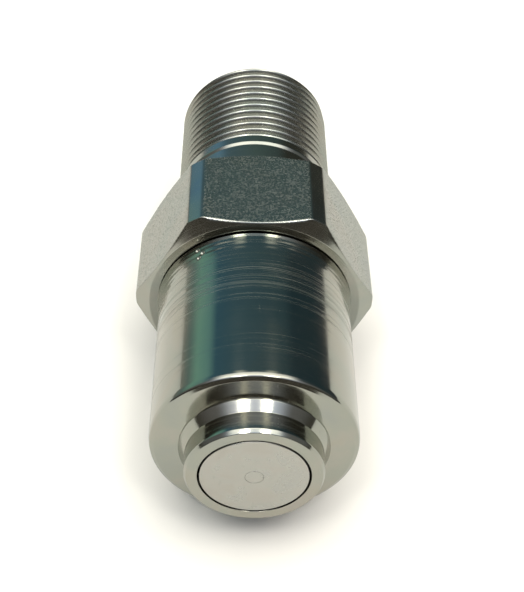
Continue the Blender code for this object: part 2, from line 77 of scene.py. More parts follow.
class Body(Enum):
    """The bodies of the frame that pieces ride on."""

    HOUSING = "housing"
    POPPET = "poppet"
    PIN = "pin"


class Slot(Enum):
    """The material slots of the record."""

    PLATED = "plated_steel"
    BRIGHT = "bright_steel"
    SPRING = "spring_steel"
    BRONZE = "bronze"
    RUBBER = "rubber"
    PLASTIC = "plastic"


@dataclass(frozen=True)
class Axis:
    """The coupling's axis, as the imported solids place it."""

    nose: float
    height: float

    @classmethod
    def from_frame(cls) -> Axis:
        """Read the axis from the front body's box."""
        low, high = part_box("front_body")
        return cls(low.y, (low.z + high.z) / 2)

    def point(self, station: float, radius: float, angle: float) -> Vector:
        """Return a place in metres.

        Args:
            station: Distance back from the nose, in millimetres.
            radius: Distance from the axis, in millimetres.
            angle: Angle from straight up, in radians.

        Returns:
            The place in the frame.
        """
        return Vector((radius * MM * math.sin(angle), self.nose + station * MM,
                       self.height + radius * MM * math.cos(angle)))

    def station_y(self, station: float) -> float:
        """Return the frame's y of a station, in metres."""
        return self.nose + station * MM


@dataclass(frozen=True)
class Corner:
    """A corner of a turned outline, with the radius that rounds it."""

    station: float
    radius: float
    rounding: float = 0.0


@dataclass
class Outline:
    """The outline of a turned piece, as corners joined by straight lines.

    An arc takes at most the share most_run of each line beside it.
    """

    corners: list[Corner]
    arc_step: float = math.radians(15)
    hold: float = 0.06
    most_run: float = 0.45

    def path(self) -> list[Point]:
        """Return the outline's points, with arcs at the rounded corners.

        Returns:
            Points of (station, radius), in order, with a point held close to each end of an arc so that flat
            faces stay flat under smooth shading.
        """
        count = len(self.corners)
        points: list[Point] = []
        closed = self.corners[0].radius > 0.0
        for index, corner in enumerate(self.corners):
            is_end = not closed and index in (0, count - 1)
            if corner.rounding <= 0.0 or is_end:
                points.append((corner.station, corner.radius))
                continue
            before = self.corners[index - 1]
            after = self.corners[(index + 1) % count]
            points += self._arc(before, corner, after)
        return points

    def _arc(self, before: Corner, corner: Corner, after: Corner) -> list[Point]:
        """Return the points of one rounded corner.

        Args:
            before: The corner before it.
            corner: The corner that is rounded.
            after: The corner after it.

        Returns:
            The points of the arc, with a held point before and after it.
        """
        middle = Vector((corner.station, corner.radius))
        back = Vector((before.station, before.radius)) - middle
        ahead = Vector((after.station, after.radius)) - middle
        opening = back.angle(ahead)
        reach = corner.rounding / math.tan(opening / 2)
        reach = min(reach, self.most_run * back.length, self.most_run * ahead.length)
        start = middle + back.normalized() * reach
        end = middle + ahead.normalized() * reach
        towards = (back.normalized() + ahead.normalized()).normalized()
        centre = middle + towards * (reach / math.cos(opening / 2))
        turn = math.pi - opening
        steps = max(2, math.ceil(turn / self.arc_step))
        points: list[Vector] = []
        if back.length > 2 * (reach + self.hold):
            points.append(start + back.normalized() * self.hold)
        first, last = start - centre, end - centre
        for step in range(steps + 1):
            share = step / steps
            weights = (math.sin((1 - share) * turn), math.sin(share * turn))
            points.append(centre + (first * weights[0] + last * weights[1]) / math.sin(turn))
        if ahead.length > 2 * (reach + self.hold):
            points.append(end + ahead.normalized() * self.hold)
        return [(point.x, point.y) for point in points]


def refined(path: Sequence[Point], start: float, end: float, above: float, step: float) -> list[Point]:
    """Split the long runs of an outline between two stations.

    Args:
        path: Points of (station, radius).
        start: First station of the stretch.
        end: Last station of the stretch.
        above: Only runs that lie outside this radius are split.
        step: Longest run left, in millimetres.

    Returns:
        The outline with the points added.
    """
    points: list[Point] = []
    for here, following in zip(path, [*path[1:], path[0]]):
        points.append(here)
        inside = all(start - 0.01 <= p[0] <= end + 0.01 and p[1] >= above for p in (here, following))
        pieces = math.ceil(math.dist(here, following) / step) if inside else 1
        for piece in range(1, pieces):
            share = piece / pieces
            points.append((here[0] + (following[0] - here[0]) * share, here[1] + (following[1] - here[1]) * share))
    return points


def even_angles(count: int) -> list[float]:
    """Return evenly spaced angles round the axis."""
    return [2 * math.pi * index / count for index in range(count)]


def spin(axis: Axis, path: Sequence[Point], angles: Sequence[float],
         shape: Callable[[float, float, float], float] | None = None) -> bmesh.types.BMesh:
    """Turn an outline round the axis into a closed mesh.

    Args:
        axis: The coupling's axis.
        path: Points of (station, radius). A path that starts on the axis is open, any other one is closed.
        angles: The angles of the mesh's meridians, in order.
        shape: A function of station, radius and angle that returns the radius to use.

    Returns:
        The mesh, with its faces pointing outwards.
    """
    tool = bmesh.new()
    milled = tool.verts.layers.float.new(MILLED)
    rows: list[list[bmesh.types.BMVert]] = []
    for station, radius in path:
        if radius <= 0.0:
            rows.append([tool.verts.new(axis.point(station, 0.0, 0.0))])
            continue
        row = []
        for angle in angles:
            used = shape(station, radius, angle) if shape else radius
            vertex = tool.verts.new(axis.point(station, used, angle))
            vertex[milled] = radius - used
            row.append(vertex)
        rows.append(row)
    pairs = list(zip(rows, rows[1:]))
    if path[0][1] > 0.0:
        pairs.append((rows[-1], rows[0]))
    for first, second in pairs:
        for index in range(len(angles)):
            following = (index + 1) % len(angles)
            ring = [first[index % len(first)], first[following % len(first)],
                    second[following % len(second)], second[index % len(second)]]
            corners = list(dict.fromkeys(ring))
            if len(corners) > 2:
                tool.faces.new(corners)
    bmesh.ops.recalc_face_normals(tool, faces=tool.faces)
    return tool


def smooth_min(first: float, second: float, blend: float) -> float:
    """Return the smaller of two values, with a rounded change between them over a width of blend."""
    overlap = max(blend - abs(first - second), 0.0) / blend
    return min(first, second) - overlap * overlap * blend / 4


class Sheet:
    """A small drawing board for the nodes of a material, a world or a node group."""

    def __init__(self, tree: bpy.types.NodeTree) -> None:
        """Work on a node tree."""
        self.tree = tree

    def add(self, kind: str, **settings: object) -> bpy.types.Node:
        """Add a node.

        Args:
            kind: The node's type.
            settings: Properties of the node, set by name.

        Returns:
            The node.
        """
        node = self.tree.nodes.new(kind)
        for name, value in settings.items():
            setattr(node, name, value)
        return node

    def put(self, socket: bpy.types.NodeSocket, value: object) -> None:
        """Link a socket to another, or set its value."""
        if isinstance(value, bpy.types.NodeSocket):
            self.tree.links.new(value, socket)
        elif value is not None:
            socket.default_value = value

    def maths(self, operation: str, first: object, second: object = None, third: object = None,
              clamp: bool = False) -> bpy.types.NodeSocket:
        """Add a maths node and return its result."""
        node = self.add("ShaderNodeMath", operation=operation, use_clamp=clamp)
        for socket, value in zip(node.inputs, (first, second, third)):
            self.put(socket, value)
        return node.outputs[0]

    def noise(self, vector: object, scale: float, detail: float = 2.0, roughness: float = 0.5,
              distortion: float = 0.0) -> bpy.types.NodeSocket:
        """Add a noise texture and return its factor."""
        node = self.add("ShaderNodeTexNoise")
        self.put(node.inputs["Vector"], vector)
        self.put(node.inputs["Scale"], scale)
        self.put(node.inputs["Detail"], detail)
        self.put(node.inputs["Roughness"], roughness)
        self.put(node.inputs["Distortion"], distortion)
        return node.outputs["Fac"]

    def remap(self, value: object, low: float, high: float, new_low: object = 0.0,
              new_high: object = 1.0, smooth: bool = True) -> bpy.types.NodeSocket:
        """Map a range to another one, clamped, and return the result."""
        node = self.add("ShaderNodeMapRange", interpolation_type="SMOOTHSTEP" if smooth else "LINEAR")
        for socket, item in zip(node.inputs, (value, low, high, new_low, new_high)):
            self.put(socket, item)
        return node.outputs[0]

    def mix(self, factor: object, first: object, second: object, blend: str = "MIX") -> bpy.types.NodeSocket:
        """Mix two colours and return the result."""
        node = self.add("ShaderNodeMix", data_type="RGBA", blend_type=blend)
        self.put(node.inputs["Factor"], factor)
        self.put(node.inputs["A"], first)
        self.put(node.inputs["B"], second)
        return node.outputs["Result"]

    def split(self, vector: object) -> list[bpy.types.NodeSocket]:
        """Return the three parts of a vector."""
        node = self.add("ShaderNodeSeparateXYZ")
        self.put(node.inputs[0], vector)
        return list(node.outputs)

    def join(self, x: object, y: object, z: object) -> bpy.types.NodeSocket:
        """Return a vector made of three parts."""
        node = self.add("ShaderNodeCombineXYZ")
        for socket, value in zip(node.inputs, (x, y, z)):
            self.put(socket, value)
        return node.outputs[0]

    def place(self, group: bpy.types.NodeTree, **values: object) -> dict[str, bpy.types.NodeSocket]:
        """Place a node group.

        Args:
            group: The group.
            values: Values or sockets for its inputs, by name, with _ for a space.

        Returns:
            Its outputs by name.
        """
        node = self.add("ShaderNodeGroup", node_tree=group)
        for name, value in values.items():
            self.put(node.inputs[name.replace("_", " ")], value)
        return {socket.name: socket for socket in node.outputs}


def new_group(name: str, kind: str, inputs: dict[str, tuple[str, object]], outputs: dict[str, str]
              ) -> tuple[Sheet, dict[str, bpy.types.NodeSocket], bpy.types.Node]:
    """Make an empty node group.

    Args:
        name: The group's name.
        kind: The type of node tree.
        inputs: For each input its socket type and its default value.
        outputs: For each output its socket type.

    Returns:
        A sheet on the group, the sockets that its inputs come from, and its output node.
    """
    tree = bpy.data.node_groups.new(name, kind)
    for label, (socket_type, default) in inputs.items():
        socket = tree.interface.new_socket(label, in_out="INPUT", socket_type=socket_type)
        if default is not None:
            socket.default_value = default
    for label, socket_type in outputs.items():
        tree.interface.new_socket(label, in_out="OUTPUT", socket_type=socket_type)
    sheet = Sheet(tree)
    source = sheet.add("NodeGroupInput")
    target = sheet.add("NodeGroupOutput")
    return sheet, {socket.name: socket for socket in source.outputs if socket.name}, target


class ShopGroups:
    """The shader node groups that several finishes share.

    WEAR gives how scored the sleeve is along the axis, as pairs of a share of WEAR_SPAN (metres) and a strength.
    """

    WEAR_SPAN = 0.040
    WEAR = ((0.24, 0.0), (0.26, 0.55), (0.35, 0.55), (0.37, 0.0), (0.47, 0.0), (0.51, 0.9), (0.72, 1.0),
            (0.76, 0.25), (0.85, 0.0))

    def __init__(self, axis: Axis) -> None:
        """Build each group once."""
        self.axis = axis
        self.turning = self._turning_marks()
        self.tint = self._plating_tint()
        self.handling = self._handling_marks()

    def _turning_marks(self) -> bpy.types.NodeTree:
        """Fine grooves that a lathe leaves round the axis, and sparser long scores that come in bands."""
        sheet, given, target = new_group(
            "turning_marks", "ShaderNodeTree",
            {"Vector": ("NodeSocketVector", None), "Lines": ("NodeSocketFloat", 5000.0),
             "Reach": ("NodeSocketFloat", 22.0), "Bands": ("NodeSocketFloat", 120.0)},
            {"Rings": "NodeSocketFloat", "Scores": "NodeSocketFloat"})
        x, y, z = sheet.split(given["Vector"])
        lifted = sheet.maths("SUBTRACT", z, self.axis.height)
        radius = sheet.maths("SQRT", sheet.maths("ADD", sheet.maths("MULTIPLY", x, x),
                                                 sheet.maths("MULTIPLY", lifted, lifted)))
        along = sheet.maths("MULTIPLY_ADD", radius, 1.37, y)
        around = [sheet.maths("MULTIPLY", part, given["Reach"]) for part in (x, lifted)]
        fine = sheet.join(around[0], sheet.maths("MULTIPLY", along, given["Lines"]), around[1])
        rings = sheet.noise(fine, 1.0, 2.0, 0.6)
        coarse = sheet.maths("MULTIPLY", along, sheet.maths("MULTIPLY", given["Lines"], 0.4))
        sparse = sheet.join(around[0], coarse, sheet.maths("ADD", around[1], 7.3))
        band = sheet.noise(sheet.join(0.0, sheet.maths("MULTIPLY", along, given["Bands"]), 2.6), 1.0, 1.0)
        wear = sheet.add("ShaderNodeValToRGB")
        fill_ramp(wear, [(share, (worn, worn, worn)) for share, worn in self.WEAR])
        sheet.put(wear.inputs[0], sheet.maths("DIVIDE", sheet.maths("SUBTRACT", y, self.axis.nose), self.WEAR_SPAN))
        streaks = sheet.maths("MULTIPLY_ADD", wear.outputs[0], 0.08, sheet.noise(sparse, 1.0, 3.0, 0.6))
        scores = sheet.maths("MULTIPLY", sheet.remap(streaks, 0.53, 0.68),
                             sheet.maths("MAXIMUM", wear.outputs[0], sheet.remap(band, 0.40, 0.56, 0.0, 0.5)))
        self._out(sheet, target, Rings=rings, Scores=scores)
        return sheet.tree

    def _plating_tint(self) -> bpy.types.NodeTree:
        """The cloudy blue and straw tint of a bright zinc plating."""
        sheet, given, target = new_group(
            "plating_tint", "ShaderNodeTree",
            {"Vector": ("NodeSocketVector", None), "Colour": ("NodeSocketColor", (0.7, 0.72, 0.72, 1.0)),
             "Amount": ("NodeSocketFloat", 0.5), "Scale": ("NodeSocketFloat", 90.0)},
            {"Colour": "NodeSocketColor", "Cloud": "NodeSocketFloat"})
        cloud = sheet.noise(given["Vector"], given["Scale"], 3.0, 0.55, 0.6)
        ramp = sheet.add("ShaderNodeValToRGB")
        stops = [(0.30, (0.62, 0.78, 0.90)), (0.43, (0.80, 0.94, 0.92)), (0.52, (1.0, 1.0, 1.0)),
                 (0.62, (1.0, 0.95, 0.84)), (0.72, (0.98, 0.86, 0.92))]
        fill_ramp(ramp, stops)
        sheet.put(ramp.inputs[0], cloud)
        tinted = sheet.mix(given["Amount"], given["Colour"], ramp.outputs[0], "MULTIPLY")
        self._out(sheet, target, Colour=tinted, Cloud=cloud)
        return sheet.tree

    def _handling_marks(self) -> bpy.types.NodeTree:
        """Small specks and a few fine crossed scratches from handling."""
        sheet, given, target = new_group(
            "handling_marks", "ShaderNodeTree",
            {"Vector": ("NodeSocketVector", None), "Specks": ("NodeSocketFloat", 520.0)},
            {"Specks": "NodeSocketFloat", "Scratches": "NodeSocketFloat"})
        cells = sheet.add("ShaderNodeTexVoronoi", feature="F1")
        sheet.put(cells.inputs["Vector"], given["Vector"])
        sheet.put(cells.inputs["Scale"], given["Specks"])
        near = sheet.remap(cells.outputs["Distance"], 0.05, 0.11, 1.0, 0.0)
        chosen = sheet.maths("GREATER_THAN", sheet.noise(given["Vector"], 330.0, 1.0), 0.60)
        x, y, z = sheet.split(given["Vector"])
        crossed = sheet.join(sheet.maths("MULTIPLY", x, 1500.0), sheet.maths("MULTIPLY", y, 160.0),
                             sheet.maths("MULTIPLY", z, 420.0))
        lines = sheet.remap(sheet.noise(crossed, 1.0, 1.0, 0.4), 0.74, 0.80)
        self._out(sheet, target, Specks=sheet.maths("MULTIPLY", near, chosen), Scratches=lines)
        return sheet.tree

    @staticmethod
    def _out(sheet: Sheet, target: bpy.types.Node, **sockets: bpy.types.NodeSocket) -> None:
        """Link results to the group's outputs by name."""
        for name, socket in sockets.items():
            sheet.put(target.inputs[name], socket)


def fill_ramp(ramp: bpy.types.Node, stops: Sequence[tuple[float, Colour]]) -> None:
    """Set the stops of a colour ramp."""
    elements = ramp.color_ramp.elements
    while len(elements) < len(stops):
        elements.new(1.0)
    for element, (position, colour) in zip(elements, stops):
        element.position = position
        element.color = (*colour, 1.0)


@dataclass(frozen=True)
class Finish:
    """A finish, turned into a material by its own numbers."""

    name: str
    colour: Colour
    roughness: float
    metallic: float = 1.0
    tint: float = 0.3
    tint_scale: float = 90.0
    lines: float = 5000.0
    ring_roughness: float = 0.05
    score_roughness: float = 0.24
    ring_depth: float = 0.0006
    grain_scale: float = 900.0
    grain_depth: float = 0.0
    specks: float = 0.5
    smudge: float = 0.04

    def build(self, groups: ShopGroups) -> bpy.types.Material:
        """Build the material.

        Args:
            groups: The shared shader node groups.

        Returns:
            The material.
        """
        material = bpy.data.materials.new(self.name)
        material.use_nodes = True
        sheet = Sheet(material.node_tree)
        shader = material.node_tree.nodes["Principled BSDF"]
        place = sheet.add("ShaderNodeTexCoord").outputs["Object"]
        tint = sheet.place(groups.tint, Vector=place, Colour=(*self.colour, 1.0), Amount=self.tint,
                           Scale=self.tint_scale)
        marks = sheet.place(groups.handling, Vector=place)
        turning = sheet.place(groups.turning, Vector=place, Lines=self.lines)
        specks = sheet.maths("MULTIPLY", marks["Specks"], self.specks)
        colour = sheet.mix(sheet.maths("MULTIPLY", specks, 0.3), tint["Colour"], (0.10, 0.09, 0.08, 1.0))
        rough = sheet.remap(tint["Cloud"], 0.3, 0.7, self.roughness - self.smudge, self.roughness + self.smudge)
        rough = sheet.maths("MULTIPLY_ADD", sheet.maths("SUBTRACT", turning["Rings"], 0.5),
                            4.0 * self.ring_roughness, rough)
        rough = sheet.maths("MULTIPLY_ADD", turning["Scores"], self.score_roughness, rough)
        rough = sheet.maths("MULTIPLY_ADD", specks, 0.4, rough)
        rough = sheet.maths("MULTIPLY_ADD", marks["Scratches"], 0.3 * self.specks, rough)
        height = sheet.maths("MULTIPLY", turning["Rings"], self.ring_depth)
        zone = self.zone(sheet, colour, rough, height, place)
        bump = sheet.add("ShaderNodeBump")
        bump.inputs["Strength"].default_value = 1.0
        bump.inputs["Distance"].default_value = MM
        sheet.put(bump.inputs["Height"], zone[2])
        sheet.put(shader.inputs["Base Color"], zone[0])
        sheet.put(shader.inputs["Roughness"], sheet.maths("MAXIMUM", zone[1], 0.06))
        sheet.put(shader.inputs["Normal"], bump.outputs[0])
        shader.inputs["Metallic"].default_value = self.metallic
        return material

    def zone(self, sheet: Sheet, colour: object, rough: object, height: object, place: object
             ) -> tuple[object, object, object]:
        """Return the colour, roughness and height in mm, with the finish's own grain laid over them."""
        if self.grain_depth > 0.0:
            grain = sheet.noise(place, self.grain_scale, 3.0, 0.6)
            height = sheet.maths("MULTIPLY_ADD", grain, self.grain_depth, height)
        return colour, rough, height


@dataclass(frozen=True)
class AdapterFinish(Finish):
    """The adapter's plating: sandy on the milled flats, satin on the thread, bright where it is turned."""

    flat_roughness: float = 0.24
    flat_depth: float = 0.008
    flat_grain: float = 4200.0
    thread_y: float = 0.0205
    thread_roughness: float = 0.26
    thread_depth: float = 0.0015

    def zone(self, sheet: Sheet, colour: object, rough: object, height: object, place: object
             ) -> tuple[object, object, object]:
        """Return the colour, roughness and height in mm, by zone."""
        flat = sheet.remap(sheet.add("ShaderNodeAttribute", attribute_name=MILLED).outputs["Fac"], 0.02, 0.10)
        thread = sheet.remap(sheet.split(place)[1], self.thread_y - 0.0003, self.thread_y)
        sand = sheet.noise(place, self.flat_grain, 2.0, 0.7)
        fleck = sheet.remap(sheet.noise(place, self.flat_grain * 0.9, 1.0, 0.5), 0.48, 0.66)
        rough = sheet.mix(flat, rough, sheet.maths("MULTIPLY_ADD", fleck, 0.22, self.flat_roughness))
        rough = sheet.mix(thread, rough, sheet.maths("MULTIPLY_ADD", sand, 0.06, self.thread_roughness - 0.03))
        height = sheet.mix(flat, height, sheet.maths("MULTIPLY", sand, self.flat_depth))
        height = sheet.mix(thread, height, sheet.maths("MULTIPLY", sand, self.thread_depth))
        speckled = sheet.mix(sheet.remap(sand, 0.35, 0.65, 0.0, 0.18), colour, (0.24, 0.25, 0.23, 1.0))
        colour = sheet.mix(sheet.maths("MAXIMUM", flat, thread), colour, speckled)
        return colour, rough, height


FINISHES: tuple[Finish, ...] = (
    Finish("plated_steel", (0.395, 0.39, 0.34), 0.12, lines=7000.0, score_roughness=0.26, specks=0.3),
    AdapterFinish("plated_adapter", (0.385, 0.385, 0.34), 0.15, ring_roughness=0.03, score_roughness=0.10,
                  specks=0.12),
    Finish("poppet_face", (0.47, 0.46, 0.42), 0.33, grain_depth=0.006, ring_roughness=0.01,
           score_roughness=0.04, tint=0.15, tint_scale=260.0, specks=0.6, smudge=0.08),
    Finish("bright_steel", (0.56, 0.56, 0.55), 0.22, tint=0.05),
    Finish("spring_steel", (0.30, 0.31, 0.33), 0.30, tint=0.1, ring_roughness=0.0, score_roughness=0.0),
    Finish("bronze", (0.60, 0.40, 0.20), 0.35, tint=0.1),
    Finish("rubber", (0.018, 0.018, 0.018), 0.5, metallic=0.0, tint=0.0, score_roughness=0.05),
    Finish("plastic", (0.82, 0.80, 0.74), 0.45, metallic=0.0, tint=0.05, score_roughness=0.05),
)


@dataclass
class Workshop:
    """What every sub-assembly needs: the axis, the finishes, and a way to hand a piece over to the frame."""

    axis: Axis
    materials: dict[str, bpy.types.Material]
    pieces: list[str] = field(default_factory=list)

    def turned(self, outline: Outline, segments: int) -> bmesh.types.BMesh:
        """Spin an outline with evenly spaced meridians."""
        return spin(self.axis, outline.path(), even_angles(segments))

    def ring(self, start: float, end: float, inner: float, outer: float, rounding: float,
             segments: int = 96) -> bmesh.types.BMesh:
        """Spin a plain ring with rounded edges."""
        corners = [Corner(start, inner, rounding), Corner(start, outer, rounding), Corner(end, outer, rounding),
                   Corner(end, inner, rounding)]
        return self.turned(Outline(corners), segments)

    def o_ring(self, start: float, inner: float, wire: float) -> bmesh.types.BMesh:
        """Spin a ring with a round section."""
        sides = 20
        path = [(start + wire / 2 - wire / 2 * math.cos(2 * math.pi * side / sides),
                 inner + wire / 2 + wire / 2 * math.sin(2 * math.pi * side / sides)) for side in range(sides)]
        return spin(self.axis, path, even_angles(96))

    def hand_over(self, name: str, tool: bmesh.types.BMesh | bpy.types.Mesh, finish: str, slot: Slot, body: Body,
                  node: str, sharp_degrees: float = 40.0) -> bpy.types.Object:
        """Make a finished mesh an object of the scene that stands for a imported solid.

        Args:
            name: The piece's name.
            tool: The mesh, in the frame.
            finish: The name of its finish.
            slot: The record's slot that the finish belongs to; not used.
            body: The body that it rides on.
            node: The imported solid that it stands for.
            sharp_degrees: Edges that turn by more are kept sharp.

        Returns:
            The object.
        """
        if isinstance(tool, bpy.types.Mesh):
            mesh = tool
            mesh.name = name
        else:
            mesh = bpy.data.meshes.new(name)
            tool.to_mesh(mesh)
            tool.free()
        mesh.shade_smooth()
        mesh.set_sharp_from_angle(angle=math.radians(sharp_degrees))
        mesh.materials.clear()
        mesh.materials.append(self.materials[finish])
        piece = bpy.data.objects.new(name, mesh)
        bpy.context.scene.collection.objects.link(piece)
        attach(piece, body.value)
        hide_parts(node)
        self.pieces.append(name)
        LOG.info("%s: %d faces, on %s", name, len(mesh.polygons), body.value)
        return piece


@dataclass
class FrontBody:
    """Nose, collar, flat shoulder and sleeve, turned from one bar and bored for the valve."""

    shop: Workshop
    nose: float = 9.85
    bore: float = 7.95
    collar: float = 10.8
    shoulder: float = 5.1
    rim: float = 14.2
    sleeve: float = 15.0
    flare_start: float = 30.2
    flare_rise: float = 0.35
    ripple: float = 0.008
    ripple_pitch: float = 1.0
    cavity: float = 11.2
    joint: float = 12.7
    end: float = 33.9
    edge: float = 0.08
    mark_angle: float = math.radians(-34)
    pits: tuple[Point, ...] = ((32.9, -0.45), (32.0, 0.4), (31.3, -0.3))
    pit_size: float = 0.3

    def outline(self) -> Outline:
        """Return the outline of the turned part, before its rear end is flared."""
        corners = [
            Corner(0.0, self.bore, self.edge), Corner(0.0, self.nose - 0.35, 0.15), Corner(0.6, self.nose, 0.3),
            Corner(3.5, self.nose, 0.12), Corner(4.9, self.collar - 0.02, 0.12), Corner(self.shoulder, self.collar),
            Corner(self.shoulder, self.rim, 0.04), Corner(5.5, self.rim + 0.65, 0.5), Corner(6.2, self.sleeve, 2.0),
            Corner(self.flare_start, self.sleeve),
            Corner(self.end, self.sleeve, self.edge), Corner(self.end, self.joint, 0.2),
            Corner(24.2, self.joint, 0.1), Corner(24.2, self.cavity, 0.1), Corner(10.45, self.cavity, 0.3),
            Corner(7.2, self.bore, 0.1)]
        return Outline(corners, arc_step=math.radians(9))

    def worked(self, station: float, radius: float, angle: float) -> float:
        """Return the radius with the sleeve's flared, faintly rippled end and the small punched pits on it."""
        if radius < self.sleeve - 1.5 * self.edge or station < self.flare_start:
            return radius
        share = (station - self.flare_start) / (self.end - self.flare_start)
        wave = math.sin(2 * math.pi * (station - self.flare_start) / self.ripple_pitch)
        radius += self.flare_rise * share * share + self.ripple * wave * math.sin(math.pi * share)
        for pit_station, aside in self.pits:
            across = (angle - self.mark_angle + math.pi) % (2 * math.pi) - math.pi
            away = math.hypot(across * self.sleeve - aside, station - pit_station) / self.pit_size
            radius += 0.05 * math.exp(-((away - 1.3) / 0.4) ** 2) - 0.18 * math.exp(-away * away)
        return radius

    def angles(self) -> list[float]:
        """Return meridians that crowd together at the punched mark and spread out gradually from it."""
        near, wide, growth = math.radians(0.3), math.radians(1.7), 1.12
        half = [0.0]
        step = near
        while half[-1] < math.pi:
            half.append(half[-1] + step)
            if half[-1] > math.radians(5.0):
                step = min(step * growth, wide)
        scale = math.pi / half[-1]
        turned = [angle * scale for angle in half[:-1]] + [math.pi] + [-angle * scale for angle in half[1:-1]]
        return sorted((self.mark_angle + angle) % (2 * math.pi) for angle in turned)

    def dress(self) -> None:
        """Build the piece."""
        path = refined(self.outline().path(), self.flare_start, self.end, self.sleeve - 0.05, 0.09)
        tool = spin(self.shop.axis, path, self.angles(), self.worked)
        self.shop.hand_over("front_body_turned", tool, "plated_steel", Slot.PLATED, Body.HOUSING, "front_body")


class ThreadCutter:
    """Geometry nodes that cut a helical thread into a plain round stub."""

    def __init__(self, axis: Axis) -> None:
        """Build the node tree."""
        kinds = {"Geometry": ("NodeSocketGeometry", None), "Pitch": ("NodeSocketFloat", 0.0),
                 "Crest Radius": ("NodeSocketFloat", 0.0), "Depth": ("NodeSocketFloat", 0.0),
                 "Start": ("NodeSocketFloat", 0.0), "End": ("NodeSocketFloat", 0.0),
                 "Material": ("NodeSocketMaterial", None)}
        sheet, given, target = new_group("cut_thread", "GeometryNodeTree", kinds,
                                         {"Geometry": "NodeSocketGeometry"})
        self.tree = sheet.tree
        place = sheet.add("GeometryNodeInputPosition").outputs[0]
        x, y, z = sheet.split(place)
        lifted = sheet.maths("SUBTRACT", z, axis.height)
        radius = sheet.maths("SQRT", sheet.maths("ADD", sheet.maths("MULTIPLY", x, x),
                                                 sheet.maths("MULTIPLY", lifted, lifted)))
        turn = sheet.maths("DIVIDE", sheet.maths("ARCTAN2", x, lifted), 2 * math.pi)
        travel = sheet.maths("DIVIDE", sheet.maths("SUBTRACT", y, given["Start"]), given["Pitch"])
        phase = sheet.maths("FRACT", sheet.maths("SUBTRACT", travel, turn))
        hill = sheet.maths("ABSOLUTE", sheet.maths("MULTIPLY_ADD", phase, 2.0, -1.0))
        flank = sheet.maths("MULTIPLY_ADD", hill, -1.5, 1.25)
        cut = sheet.maths("SMOOTH_MAX", sheet.maths("SMOOTH_MIN", flank, 1.0, 0.35), 0.0, 0.35)
        run_in = sheet.remap(travel, 0.0, 0.6)
        cut = sheet.maths("MULTIPLY", cut, run_in)
        wanted = sheet.maths("SUBTRACT", given["Crest Radius"], sheet.maths("MULTIPLY", cut, given["Depth"]))
        used = sheet.maths("MINIMUM", wanted, radius)
        ratio = sheet.maths("DIVIDE", used, sheet.maths("MAXIMUM", radius, MM))
        moved = sheet.join(sheet.maths("MULTIPLY", x, ratio), y,
                           sheet.maths("MULTIPLY_ADD", lifted, ratio, axis.height))
        floor = sheet.maths("SUBTRACT", given["Crest Radius"], sheet.maths("MULTIPLY", given["Depth"], 1.2))
        chosen = sheet.maths("MULTIPLY", sheet.maths("GREATER_THAN", radius, floor),
                             sheet.maths("MULTIPLY", sheet.maths("GREATER_THAN", y, given["Start"]),
                                         sheet.maths("LESS_THAN", y, given["End"])))
        move = sheet.add("GeometryNodeSetPosition")
        sheet.put(move.inputs["Geometry"], given["Geometry"])
        sheet.put(move.inputs["Selection"], chosen)
        sheet.put(move.inputs["Position"], moved)
        end_tree(sheet, move.outputs[0], given["Material"], target)

    def cut(self, mesh: bpy.types.Mesh, material: bpy.types.Material, **sizes: float) -> bpy.types.Mesh:
        """Cut the thread and return the plain mesh.

        Args:
            mesh: The mesh with a plain stub.
            material: The finish of the result.
            sizes: The tree's inputs in metres, by name, with _ for a space.

        Returns:
            The threaded mesh.
        """
        return run_tree(self.tree, mesh, material, sizes)


def end_tree(sheet: Sheet, geometry: bpy.types.NodeSocket, material: bpy.types.NodeSocket,
             target: bpy.types.Node) -> None:
    """End a geometry tree in Realize Instances and Set Material."""
    realize = sheet.add("GeometryNodeRealizeInstances")
    sheet.put(realize.inputs[0], geometry)
    dress = sheet.add("GeometryNodeSetMaterial")
    sheet.put(dress.inputs["Geometry"], realize.outputs[0])
    sheet.put(dress.inputs["Material"], material)
    sheet.put(target.inputs[0], dress.outputs[0])


def run_tree(tree: bpy.types.NodeTree, mesh: bpy.types.Mesh, material: bpy.types.Material,
             values: dict[str, float | int]) -> bpy.types.Mesh:
    """Run a geometry tree on a mesh.

    Args:
        tree: The tree.
        mesh: The mesh that goes in.
        material: The material for its Material input.
        values: Its other inputs by name, with _ for a space.

    Returns:
        The result as a plain mesh.
    """
    holder = bpy.data.objects.new("tree_holder", mesh)
    bpy.context.scene.collection.objects.link(holder)
    modifier = holder.modifiers.new("tree", "NODES")
    modifier.node_group = tree
    sockets = {item.name: item.identifier for item in tree.interface.items_tree if item.in_out == "INPUT"}
    for name, value in {**values, "Material": material}.items():
        modifier[sockets[name.replace("_", " ")]] = value
    depsgraph = bpy.context.evaluated_depsgraph_get()
    result = bpy.data.meshes.new_from_object(holder.evaluated_get(depsgraph))
    bpy.data.objects.remove(holder, do_unlink=True)
    bpy.data.meshes.remove(mesh)
    return result


